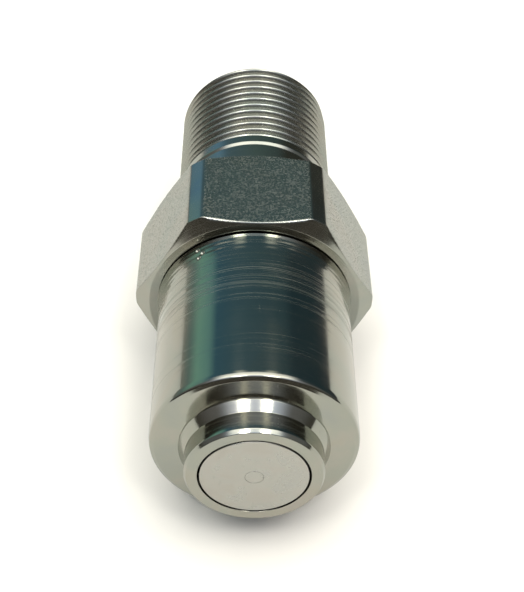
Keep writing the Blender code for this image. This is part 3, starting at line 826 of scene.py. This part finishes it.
@dataclass
class RearAdapter:
    """Spigot, hexagon, shank and threaded stub, turned and milled from one bar."""

    shop: Workshop
    spigot: float = 12.4
    flats: float = 17.0
    turned: float = 18.9
    face: float = 16.7
    front: float = 34.2
    back: float = 51.0
    neck: float = 12.78
    neck_end: float = 59.65
    land: float = 13.08
    land_start: float = 60.1
    land_end: float = 61.75
    thread_start: float = 61.9
    thread: float = 13.22
    pitch: float = 1.814
    depth: float = 1.162
    end: float = 83.0
    port: float = 8.6
    mouth: float = 10.2
    guide_bore: float = 9.8
    edge: float = 0.22

    def outline(self) -> Outline:
        """Return the outline before the flats are milled and the thread is cut."""
        rise = (self.turned - self.face) * math.tan(math.radians(30))
        corners = [
            Corner(24.5, self.guide_bore, 0.15), Corner(24.5, self.spigot, 0.3), Corner(26.0, self.spigot, 0.1),
            Corner(26.0, 10.8, 0.1), Corner(29.3, 10.8, 0.1), Corner(29.3, self.spigot, 0.1),
            Corner(self.front, self.spigot, 0.2), Corner(self.front, self.face, 0.1),
            Corner(self.front + rise, self.turned, 0.12), Corner(self.back - rise, self.turned, 0.12),
            Corner(self.back, self.face, 0.1), Corner(self.back, self.neck, 0.25),
            Corner(self.neck_end, self.neck, 0.1), Corner(self.land_start, self.land, 0.25),
            Corner(self.land_end, self.land, 0.04), Corner(self.land_end + 0.18, self.thread, 0.1),
            Corner(self.end - 1.1, self.thread), Corner(self.end, self.thread - 1.1, 0.08),
            Corner(self.end, self.mouth, 0.1), Corner(self.end - 2.77, self.port, 0.2),
            Corner(36.7, self.port, 0.1), Corner(36.7, self.guide_bore, 0.1), Corner(33.6, self.guide_bore),
            Corner(33.6, 10.6), Corner(32.0, 10.6), Corner(32.0, self.guide_bore)]
        return Outline(corners, arc_step=math.radians(30))

    def milled(self, station: float, radius: float, angle: float) -> float:
        """Return the radius after the six flats are milled."""
        if not self.front - 0.01 <= station <= self.back + 0.01 or radius < self.flats - 0.8:
            return radius
        sector = math.pi / 3
        across = (angle + sector / 2) % sector - sector / 2
        return smooth_min(radius, self.flats / math.cos(across), self.edge)

    def angles(self) -> list[float]:
        """Return meridians that crowd together where a flat meets the turned corner."""
        sector = math.pi / 3
        corner = math.acos(self.flats / self.turned)
        steps = [0.0, 0.2, 0.4, 0.7, 1.1, 1.6, 2.2]
        offsets = {round(corner + sign * math.radians(step), 6) for step in steps for sign in (1, -1)}
        offsets |= {math.radians(2.4 * step) for step in range(10)}
        offsets |= {-offset for offset in offsets} | {sector / 2}
        return sorted((sector * side + offset) % (2 * math.pi) for side in range(6) for offset in offsets)

    def dress(self, cutter: ThreadCutter) -> None:
        """Build the piece.

        Args:
            cutter: The geometry nodes that cut the thread.
        """
        path = self.outline().path()
        path = refined(path, self.front, self.front + 1.6, self.face - 0.4, 0.08)
        path = refined(path, self.back - 1.6, self.back, self.face - 0.4, 0.08)
        path = refined(path, self.thread_start, self.end, self.thread - 1.2, 0.125)
        tool = spin(self.shop.axis, path, self.angles(), self.milled)
        stub = bpy.data.meshes.new("stub")
        tool.to_mesh(stub)
        tool.free()
        axis = self.shop.axis
        mesh = cutter.cut(stub, self.shop.materials["plated_adapter"], Pitch=self.pitch * MM,
                          Crest_Radius=self.thread * MM, Depth=self.depth * MM,
                          Start=axis.station_y(self.thread_start), End=axis.station_y(self.end))
        self.shop.hand_over("rear_adapter_threaded", mesh, "plated_adapter", Slot.PLATED, Body.HOUSING,
                            "rear_adapter", sharp_degrees=50.0)


@dataclass
class JointSeals:
    """The O-ring and back-up ring of the joint between the front body and the adapter."""

    shop: Workshop
    start: float = 26.2
    inner: float = 11.0
    wire: float = 1.5

    def dress(self) -> None:
        """Build both rings."""
        self.shop.hand_over("joint_o_ring", self.shop.o_ring(self.start, self.inner, self.wire), "rubber",
                            Slot.RUBBER, Body.HOUSING, "body_o_ring")
        start = self.start + self.wire + 0.2
        ring = self.shop.ring(start, start + 1.2, self.inner, 12.5, 0.1)
        self.shop.hand_over("joint_backup_ring", ring, "plastic", Slot.PLASTIC, Body.HOUSING, "body_backup_ring")


@dataclass
class Poppet:
    """The flat-faced head of the valve and the seals in its groove."""

    shop: Workshop
    head: float = 7.65
    groove: float = 6.05
    groove_start: float = 2.0
    groove_end: float = 5.9
    cone: float = 7.32
    flange_station: float = 8.67
    flange: float = 9.0
    end: float = 10.37
    socket: float = 4.3
    socket_station: float = 6.67
    chamber: float = 3.0
    chamber_station: float = 4.0
    pin_bore: float = 1.32

    def dress(self) -> None:
        """Build the head and its three rings."""
        corners = [
            Corner(0.0, self.pin_bore, 0.03), Corner(0.0, self.head, 0.1), Corner(self.groove_start, self.head, 0.1),
            Corner(self.groove_start, self.groove, 0.1), Corner(self.groove_end, self.groove, 0.1),
            Corner(self.groove_end, self.head, 0.1), Corner(self.cone, self.head, 0.1),
            Corner(self.flange_station, self.flange, 0.1), Corner(self.end, self.flange, 0.2),
            Corner(self.end, self.socket, 0.1), Corner(self.socket_station, self.socket, 0.1),
            Corner(self.socket_station, self.chamber, 0.1), Corner(self.chamber_station, self.chamber, 0.1),
            Corner(self.chamber_station, self.pin_bore, 0.05)]
        shop = self.shop
        shop.hand_over("poppet_head_turned", shop.turned(Outline(corners), 160), "poppet_face", Slot.PLATED,
                       Body.POPPET, "poppet_head")
        inner, outer = self.groove + 0.2, self.head + 0.1
        for name, start in (("poppet_backup_front", 2.2), ("poppet_backup_rear", 4.9)):
            shop.hand_over(name + "_ring", shop.ring(start, start + 0.8, inner, outer, 0.08), "plastic",
                           Slot.PLASTIC, Body.POPPET, name)
        shop.hand_over("poppet_seal_ring", shop.o_ring(3.2, inner, 1.5), "rubber", Slot.RUBBER, Body.POPPET,
                       "poppet_o_ring")


@dataclass
class ReliefValve:
    """The small pin in the middle of the poppet, its seal and its spring."""

    shop: Workshop
    pin: float = 1.3
    head: float = 2.4
    head_station: float = 5.1
    head_end: float = 6.3
    tail: float = 0.9
    end: float = 9.3

    def dress(self, winder: CoilWinder) -> None:
        """Build the pin, the seal and the spring.

        Args:
            winder: The geometry nodes that wind a spring.
        """
        corners = [
            Corner(0.0, 0.0), Corner(0.0, self.pin, 0.06), Corner(self.head_station, self.pin, 0.1),
            Corner(self.head_station, self.head, 0.1), Corner(self.head_end, self.head, 0.1),
            Corner(self.head_end, self.tail, 0.1), Corner(self.end, self.tail, 0.2), Corner(self.end, 0.0)]
        shop = self.shop
        shop.hand_over("relief_pin_turned", shop.turned(Outline(corners), 64), "poppet_face", Slot.BRIGHT, Body.PIN,
                       "relief_pin")
        shop.hand_over("relief_seal_ring", shop.o_ring(4.2, 1.75, 0.8), "rubber", Slot.RUBBER, Body.POPPET,
                       "relief_seal")
        spring = winder.wind(shop, start=6.6, length=8.07, radius=2.0, wire=0.6, turns=6)
        piece = shop.hand_over("relief_spring_wound", spring, "spring_steel", Slot.SPRING, Body.POPPET,
                               "relief_spring")
        tuple(shop.axis.point(14.67, 0.0, 0.0))
        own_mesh(piece)


class CoilWinder:
    """Geometry nodes that wind a compression spring with a closed turn at each end."""

    SIDES = 14
    STEPS = 48
    CLOSED_GAP = 0.15

    def __init__(self) -> None:
        """Build the node tree."""
        kinds = {"Geometry": ("NodeSocketGeometry", None), "Radius": ("NodeSocketFloat", 0.0),
                 "Wire": ("NodeSocketFloat", 0.0), "Turns": ("NodeSocketInt", 5), "Length": ("NodeSocketFloat", 0.0),
                 "Start": ("NodeSocketFloat", 0.0), "Height": ("NodeSocketFloat", 0.0),
                 "Material": ("NodeSocketMaterial", None)}
        sheet, given, target = new_group("wound_spring", "GeometryNodeTree", kinds,
                                         {"Geometry": "NodeSocketGeometry"})
        self.tree = sheet.tree
        count = sheet.maths("MULTIPLY_ADD", given["Turns"], float(self.STEPS), 1.0)
        line = sheet.add("GeometryNodeMeshLine")
        sheet.put(line.inputs["Count"], count)
        turn = sheet.maths("DIVIDE", sheet.add("GeometryNodeInputIndex").outputs[0], float(self.STEPS))
        closed = sheet.maths("ADD", given["Wire"], self.CLOSED_GAP * MM)
        middle_turns = sheet.maths("SUBTRACT", given["Turns"], 2.0)
        middle = sheet.maths("SUBTRACT", sheet.maths("SUBTRACT", given["Length"], given["Wire"]),
                             sheet.maths("MULTIPLY", closed, 2.0))
        pitch = sheet.maths("DIVIDE", middle, middle_turns)
        first = sheet.maths("MULTIPLY", sheet.maths("MINIMUM", turn, 1.0), closed)
        opened = sheet.maths("MINIMUM", sheet.maths("MAXIMUM", sheet.maths("SUBTRACT", turn, 1.0), 0.0), middle_turns)
        last = sheet.maths("MAXIMUM", sheet.maths("SUBTRACT", turn, sheet.maths("SUBTRACT", given["Turns"], 1.0)), 0.0)
        along = sheet.maths("MULTIPLY_ADD", opened, pitch, first)
        along = sheet.maths("MULTIPLY_ADD", last, closed, along)
        along = sheet.maths("ADD", along, sheet.maths("MULTIPLY_ADD", given["Wire"], 0.5, given["Start"]))
        angle = sheet.maths("MULTIPLY", turn, 2 * math.pi)
        place = sheet.join(sheet.maths("MULTIPLY", sheet.maths("SINE", angle), given["Radius"]), along,
                           sheet.maths("MULTIPLY_ADD", sheet.maths("COSINE", angle), given["Radius"],
                                       given["Height"]))
        move = sheet.add("GeometryNodeSetPosition")
        sheet.put(move.inputs["Geometry"], line.outputs[0])
        sheet.put(move.inputs["Position"], place)
        curve = sheet.add("GeometryNodeMeshToCurve")
        sheet.put(curve.inputs[0], move.outputs[0])
        section = sheet.add("GeometryNodeCurvePrimitiveCircle")
        section.inputs["Resolution"].default_value = self.SIDES
        sheet.put(section.inputs["Radius"], sheet.maths("MULTIPLY", given["Wire"], 0.5))
        wire = sheet.add("GeometryNodeCurveToMesh")
        sheet.put(wire.inputs["Curve"], curve.outputs[0])
        sheet.put(wire.inputs["Profile Curve"], section.outputs[0])
        wire.inputs["Fill Caps"].default_value = True
        end_tree(sheet, wire.outputs[0], given["Material"], target)

    def wind(self, shop: Workshop, start: float, length: float, radius: float, wire: float, turns: int
             ) -> bpy.types.Mesh:
        """Wind a spring.

        Args:
            shop: The workshop, for the axis and the finish.
            start: Station of its front end, in millimetres.
            length: Its length, in millimetres.
            radius: Its mean radius, in millimetres.
            wire: The wire's thickness, in millimetres.
            turns: Its turns, with the closed ones.

        Returns:
            The spring's mesh.
        """
        values = {"Radius": radius * MM, "Wire": wire * MM, "Turns": turns, "Length": length * MM,
                  "Start": shop.axis.station_y(start), "Height": shop.axis.height}
        mesh = run_tree(self.tree, bpy.data.meshes.new("seed"), shop.materials["spring_steel"], values)
        tool = bmesh.new()
        tool.from_mesh(mesh)
        bpy.data.meshes.remove(mesh)
        bmesh.ops.remove_doubles(tool, verts=tool.verts, dist=0.001 * MM)
        bmesh.ops.recalc_face_normals(tool, faces=tool.faces)
        result = bpy.data.meshes.new("spring")
        tool.to_mesh(result)
        tool.free()
        return result


@dataclass
class SpringPack:
    """The cup, the main spring and its rear seat."""

    shop: Workshop

    def dress(self, winder: CoilWinder) -> None:
        """Build the three pieces.

        Args:
            winder: The geometry nodes that wind a spring.
        """
        shop = self.shop
        cup = [Corner(10.67, 4.3, 0.1), Corner(10.67, 8.4, 0.3), Corner(12.87, 8.4, 0.15), Corner(12.87, 7.4, 0.15),
               Corner(11.47, 7.4, 0.3), Corner(11.47, 4.3, 0.1)]
        shop.hand_over("spring_cup_pressed", shop.turned(Outline(cup), 96), "bright_steel", Slot.BRIGHT,
                       Body.POPPET, "spring_cup")
        start, end = 11.77, 32.2
        spring = winder.wind(shop, start=start, length=end - start, radius=6.2, wire=1.6, turns=5)
        piece = shop.hand_over("main_spring_wound", spring, "spring_steel", Slot.SPRING, Body.HOUSING, "main_spring")
        tuple(shop.axis.point(end, 0.0, 0.0))
        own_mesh(piece)
        shop.hand_over("spring_seat_washer", shop.ring(32.5, 33.3, 4.9, 8.0, 0.12), "bright_steel", Slot.BRIGHT,
                       Body.HOUSING, "spring_seat")


@dataclass
class ValveStem:
    """The stem behind the head, with the washer and the clip on its tail."""

    shop: Workshop
    front: float = 4.0
    bore: float = 3.0
    rod: float = 2.5

    def dress(self) -> None:
        """Build the stem, the washer and the clip."""
        shop = self.shop
        corners = [
            Corner(14.97, 0.0), Corner(14.97, self.bore, 0.2), Corner(6.97, self.bore, 0.1),
            Corner(6.97, self.front, 0.2), Corner(16.97, self.front, 0.2), Corner(16.97, self.rod, 0.3),
            Corner(40.3, self.rod, 0.1), Corner(40.3, 2.0, 0.1), Corner(41.7, 2.0, 0.1), Corner(41.7, self.rod, 0.1),
            Corner(42.5, self.rod, 0.1), Corner(43.0, 2.0, 0.1), Corner(43.0, 0.0)]
        shop.hand_over("poppet_stem_turned", shop.turned(Outline(corners), 80), "bright_steel", Slot.BRIGHT,
                       Body.POPPET, "poppet_stem")
        shop.hand_over("stem_washer_stamped", shop.ring(39.5, 40.3, 2.8, 5.0, 0.1), "spring_steel", Slot.SPRING,
                       Body.POPPET, "stem_washer")
        clip = open_clip(shop.axis, 40.6, 41.4, 2.3, 4.2)
        shop.hand_over("stem_clip", clip, "spring_steel", Slot.SPRING, Body.POPPET, "stem_retaining_ring")


def open_clip(axis: Axis, start: float, end: float, inner: float, outer: float) -> bmesh.types.BMesh:
    """Build a spring clip that is open at the top, with rounded corners.

    Args:
        axis: The coupling's axis.
        start: Station of its front face.
        end: Station of its rear face.
        inner: Inner radius.
        outer: Outer radius.

    Returns:
        The mesh.
    """
    half_opening = math.radians(20)
    steps = 72
    edge = 0.08
    section = Outline([Corner(start, inner, edge), Corner(start, outer, edge), Corner(end, outer, edge),
                       Corner(end, inner, edge)]).path()
    tool = bmesh.new()
    loops = []
    for step in range(steps + 1):
        angle = half_opening + (2 * math.pi - 2 * half_opening) * step / steps
        loops.append([tool.verts.new(axis.point(station, radius, angle)) for station, radius in section])
    for first, second in zip(loops, loops[1:]):
        for index in range(len(section)):
            following = (index + 1) % len(section)
            tool.faces.new((first[index], first[following], second[following], second[index]))
    tool.faces.new(loops[0])
    tool.faces.new(reversed(loops[-1]))
    bmesh.ops.recalc_face_normals(tool, faces=tool.faces)
    return tool


@dataclass
class StemGuide:
    """The three-armed guide, the bush in its hub and the clip that holds it."""

    shop: Workshop
    bush: float = 3.6
    hub: float = 4.6
    rim: float = 9.5
    web_start: float = 33.6
    web_end: float = 36.4
    arms: int = 3
    arm_width: float = 3.0
    edge: float = 0.35

    def dress(self) -> None:
        """Build the guide, the bush and the clip."""
        shop = self.shop
        shop.hand_over("poppet_guide_spider", self.spider(), "bright_steel", Slot.BRIGHT, Body.HOUSING,
                       "poppet_guide")
        corners = [Corner(31.1, 2.8, 0.1), Corner(31.1, 4.4, 0.1), Corner(31.9, 4.4, 0.1), Corner(31.9, self.bush, 0.1),
                   Corner(38.9, self.bush, 0.1), Corner(38.9, 2.8, 0.1)]
        shop.hand_over("guide_bush_sintered", shop.turned(Outline(corners), 80), "bronze", Slot.BRONZE,
                       Body.HOUSING, "guide_bush")
        shop.hand_over("guide_clip", open_clip(shop.axis, 32.3, 33.3, 8.7, 10.3), "spring_steel", Slot.SPRING,
                       Body.HOUSING, "guide_retaining_ring")

    def spider(self) -> bmesh.types.BMesh:
        """Build the guide: a turned blank whose three windows are cut with a Boolean."""
        corners = [
            Corner(32.2, 3.9, 0.15), Corner(32.2, self.hub, 0.15), Corner(self.web_start, self.hub, 0.15),
            Corner(self.web_start, self.rim, 0.2), Corner(self.web_end, self.rim, 0.2),
            Corner(self.web_end, self.hub, 0.15), Corner(38.9, self.hub, 0.2), Corner(38.9, 3.9, 0.1)]
        blank = bpy.data.meshes.new("blank")
        tool = self.shop.turned(Outline(corners), 96)
        tool.to_mesh(blank)
        tool.free()
        holder = bpy.data.objects.new("blank", blank)
        bpy.context.scene.collection.objects.link(holder)
        cutters = []
        for arm in range(self.arms):
            cutter = self.window(2 * math.pi * arm / self.arms)
            modifier = holder.modifiers.new("window", "BOOLEAN")
            modifier.operation = "DIFFERENCE"
            modifier.solver = "EXACT"
            modifier.object = cutter
            cutters.append(cutter)
        depsgraph = bpy.context.evaluated_depsgraph_get()
        result = bmesh.new()
        cut = bpy.data.meshes.new_from_object(holder.evaluated_get(depsgraph))
        result.from_mesh(cut)
        for item in (holder, *cutters):
            bpy.data.objects.remove(item, do_unlink=True)
        bpy.data.meshes.remove(cut)
        return result

    def window(self, centre: float) -> bpy.types.Object:
        """Return a cutter for one window, a sector."""
        steps = 16
        inner, outer = self.hub + 0.3, self.rim - 1.5
        edge: list[tuple[float, float]] = []
        for radius, order in ((outer, 1), (inner, -1)):
            reach = math.pi / self.arms - math.asin(self.arm_width / 2 / radius)
            edge += [(radius, centre + order * reach * (2 * step / steps - 1)) for step in range(steps + 1)]
        tool = bmesh.new()
        loops = [[tool.verts.new(self.shop.axis.point(station, radius, angle)) for radius, angle in edge]
                 for station in (self.web_start - 0.3, self.web_end + 0.3)]
        tool.faces.new(loops[0])
        tool.faces.new(loops[1])
        for index in range(len(edge)):
            following = (index + 1) % len(edge)
            tool.faces.new((loops[0][index], loops[0][following], loops[1][following], loops[1][index]))
        bmesh.ops.recalc_face_normals(tool, faces=tool.faces)
        mesh = bpy.data.meshes.new("window")
        tool.to_mesh(mesh)
        tool.free()
        cutter = bpy.data.objects.new("window", mesh)
        bpy.context.scene.collection.objects.link(cutter)
        return cutter


@dataclass
class Studio:
    """The floor, the room's light and the camera."""

    axis: Axis
    eye_back: float = 0.0996
    eye_up: float = 0.1300
    tilt: float = math.radians(46.26)
    roll: float = math.radians(-1.5)
    lens: float = 80.5
    shift: float = 0.0147

    def build(self) -> None:
        """Build the floor, the room, the lamps and the camera."""
        self.floor()
        self.room()
        self.lamps()
        self.camera()
        bpy.context.scene.view_settings.view_transform = "Standard"

    def floor(self) -> None:
        """Add the plain pale floor, which glossy rays see in a darker colour: painted shade in its reflections."""
        half = 3.0
        mesh = bpy.data.meshes.new("floor")
        corners = [(-half, -half, 0.0), (half, -half, 0.0), (half, half, 0.0), (-half, half, 0.0)]
        mesh.from_pydata(corners, [], [(0, 1, 2, 3)])
        material = bpy.data.materials.new("floor")
        material.use_nodes = True
        shader = material.node_tree.nodes["Principled BSDF"]
        sheet = Sheet(material.node_tree)
        shaded_in_reflection = sheet.add("ShaderNodeLightPath").outputs["Is Glossy Ray"]
        # Painted shade: the floor is darker for glossy rays, so the metal reflects a shaded floor.
        sheet.put(shader.inputs["Base Color"], sheet.mix(shaded_in_reflection, (0.86, 0.83, 0.77, 1.0), (0.66, 0.64, 0.60, 1.0)))
        shader.inputs["Roughness"].default_value = 0.9
        shader.inputs["Specular IOR Level"].default_value = 0.1
        mesh.materials.append(material)
        floor = bpy.data.objects.new("floor", mesh)
        bpy.context.scene.collection.objects.link(floor)

    def room(self) -> None:
        """Light the room: dark and bluish behind the coupling, a pale ceiling above and before it."""
        world = bpy.data.worlds.new("room")
        world.use_nodes = True
        bpy.context.scene.world = world
        sheet = Sheet(world.node_tree)
        background = world.node_tree.nodes["Background"]
        x, y, z = sheet.split(sheet.add("ShaderNodeTexCoord").outputs["Generated"])
        lean = sheet.maths("DIVIDE", sheet.maths("ARCTAN2", x, z), 2 * math.pi)
        ramp = sheet.add("ShaderNodeValToRGB")
        fill_ramp(ramp, [(0.25, (0.30, 0.30, 0.26)), (0.28, (0.17, 0.24, 0.23)), (0.31, (0.24, 0.47, 0.38)),
                         (0.35, (0.18, 0.37, 0.35)), (0.375, (0.057, 0.14, 0.20)), (0.43, (0.07, 0.14, 0.18)),
                         (0.50, (0.064, 0.12, 0.15)), (0.59, (0.05, 0.092, 0.11)), (0.62, (0.028, 0.054, 0.068)),
                         (0.70, (0.028, 0.05, 0.06)), (0.745, (0.057, 0.064, 0.07)), (0.76, (0.30, 0.28, 0.24))])
        sheet.put(ramp.inputs[0], sheet.maths("ADD", lean, 0.5))
        low_ramp = sheet.add("ShaderNodeValToRGB")
        fill_ramp(low_ramp, [(0.25, (0.26, 0.27, 0.26)), (0.29, (0.14, 0.24, 0.34)), (0.333, (0.16, 0.31, 0.47)),
                             (0.38, (0.10, 0.17, 0.21)), (0.50, (0.10, 0.155, 0.15)), (0.60, (0.07, 0.10, 0.10)),
                             (0.64, (0.05, 0.05, 0.04)), (0.73, (0.045, 0.043, 0.035)), (0.76, (0.26, 0.25, 0.22))])
        sheet.put(low_ramp.inputs[0], sheet.maths("ADD", lean, 0.5))
        behind = sheet.mix(sheet.remap(y, 0.75, 0.775), ramp.outputs[0], low_ramp.outputs[0])
        aside = sheet.maths("ABSOLUTE", sheet.maths("SUBTRACT", sheet.maths("ABSOLUTE", x), 0.235))
        tubes = sheet.maths("MULTIPLY", sheet.remap(aside, 0.11, 0.02), sheet.remap(y, 0.70, 0.52))
        behind = sheet.mix(tubes, behind, (0.62, 0.66, 0.60, 1.0))
        ahead = sheet.remap(y, 0.45, 0.0)
        side =sheet.remap(sheet.maths("ABSOLUTE", x), 0.35, 0.8)
        ceiling = sheet.mix(side, (0.86, 0.95, 1.20, 1.0), (0.17, 0.17, 0.17, 1.0))
        slope = sheet.maths("DIVIDE", z, sheet.maths("MAXIMUM", sheet.maths("ABSOLUTE", y), 0.05))
        ceiling = sheet.mix(sheet.remap(slope, 1.6, 0.35), ceiling, (0.070, 0.064, 0.053, 1.0))
        colour = sheet.mix(ahead, behind, ceiling)
        overhead = sheet.maths("MULTIPLY", sheet.remap(y, -0.37, -0.33), sheet.remap(y, 0.40, 0.28))
        overhead = sheet.maths("MULTIPLY", overhead, sheet.remap(sheet.maths("ABSOLUTE", x), 0.68, 0.45))
        pair = sheet.maths("MULTIPLY", sheet.remap(slope, 1.35, 1.2), sheet.remap(slope, 0.8, 0.9))
        pair = sheet.maths("MULTIPLY", pair, sheet.maths("MULTIPLY", sheet.remap(aside, 0.085, 0.02),
                                                         sheet.remap(y, -0.3, -0.4)))
        colour = sheet.mix(sheet.maths("MAXIMUM", overhead, pair), colour, (2.1, 2.1, 2.0, 1.0))
        seen = sheet.add("ShaderNodeLightPath").outputs["Is Camera Ray"]
        sheet.put(background.inputs["Color"], sheet.mix(seen, colour, (0.70, 0.70, 0.69, 1.0)))
        background.inputs["Strength"].default_value = 1.14

    def lamps(self) -> None:
        """Add two ceiling lamps that show in every rounded edge, and a soft sun for the floor."""
        target = Vector((0.0, self.axis.nose, self.axis.height))
        for side in (-1, 1):
            towards = Vector((0.25 * side, -0.39, 0.86)).normalized()
            data = bpy.data.lights.new("ceiling_lamp", "AREA")
            data.shape = "ELLIPSE"
            data.size = 0.19
            data.size_y = 0.27
            data.energy = 1.9
            data.color = (1.0, 0.98, 0.92)
            lamp = bpy.data.objects.new("ceiling_lamp", data)
            lamp.location = target + towards * 1.0
            lamp.rotation_euler = towards.to_track_quat("Z", "Y").to_euler()
            bpy.context.scene.collection.objects.link(lamp)
        data = bpy.data.lights.new("soft_sun", "SUN")
        data.energy = 1.45
        data.angle = math.radians(70)
        data.color = (1.0, 0.97, 0.92)
        sun = bpy.data.objects.new("soft_sun", data)
        sun.rotation_euler = (math.radians(-12), math.radians(8), 0.0)
        sun.visible_glossy = False
        bpy.context.scene.collection.objects.link(sun)

    def camera(self) -> None:
        """Place the camera at the photograph's angle, turned a little about the coupling's axis."""
        data = bpy.data.cameras.new("camera")
        data.sensor_fit = "HORIZONTAL"
        data.lens = self.lens
        data.shift_x = self.shift
        camera = bpy.data.objects.new("camera", data)
        pivot = Matrix.Translation((0.0, self.axis.nose, self.axis.height))
        eye = Matrix.Translation((0.0, -self.eye_back, self.eye_up)) @ Matrix.Rotation(self.tilt, 4, "X")
        camera.matrix_world = pivot @ Matrix.Rotation(self.roll, 4, "Y") @ eye
        bpy.context.scene.collection.objects.link(camera)
        bpy.context.scene.camera = camera


def main() -> None:
    """Build every piece round the frame, then the studio."""
    logging.basicConfig(level=logging.INFO, format="%(message)s")
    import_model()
    axis = Axis.from_frame()
    groups = ShopGroups(axis)
    shop = Workshop(axis, {finish.name: finish.build(groups) for finish in FINISHES})
    winder = CoilWinder()
    FrontBody(shop).dress()
    RearAdapter(shop).dress(ThreadCutter(axis))
    JointSeals(shop).dress()
    Poppet(shop).dress()
    ReliefValve(shop).dress(winder)
    SpringPack(shop).dress(winder)
    ValveStem(shop).dress()
    StemGuide(shop).dress()
    Studio(axis).build()
    LOG.info("%d pieces", len(shop.pieces))


if __name__ == "__main__":
    main()
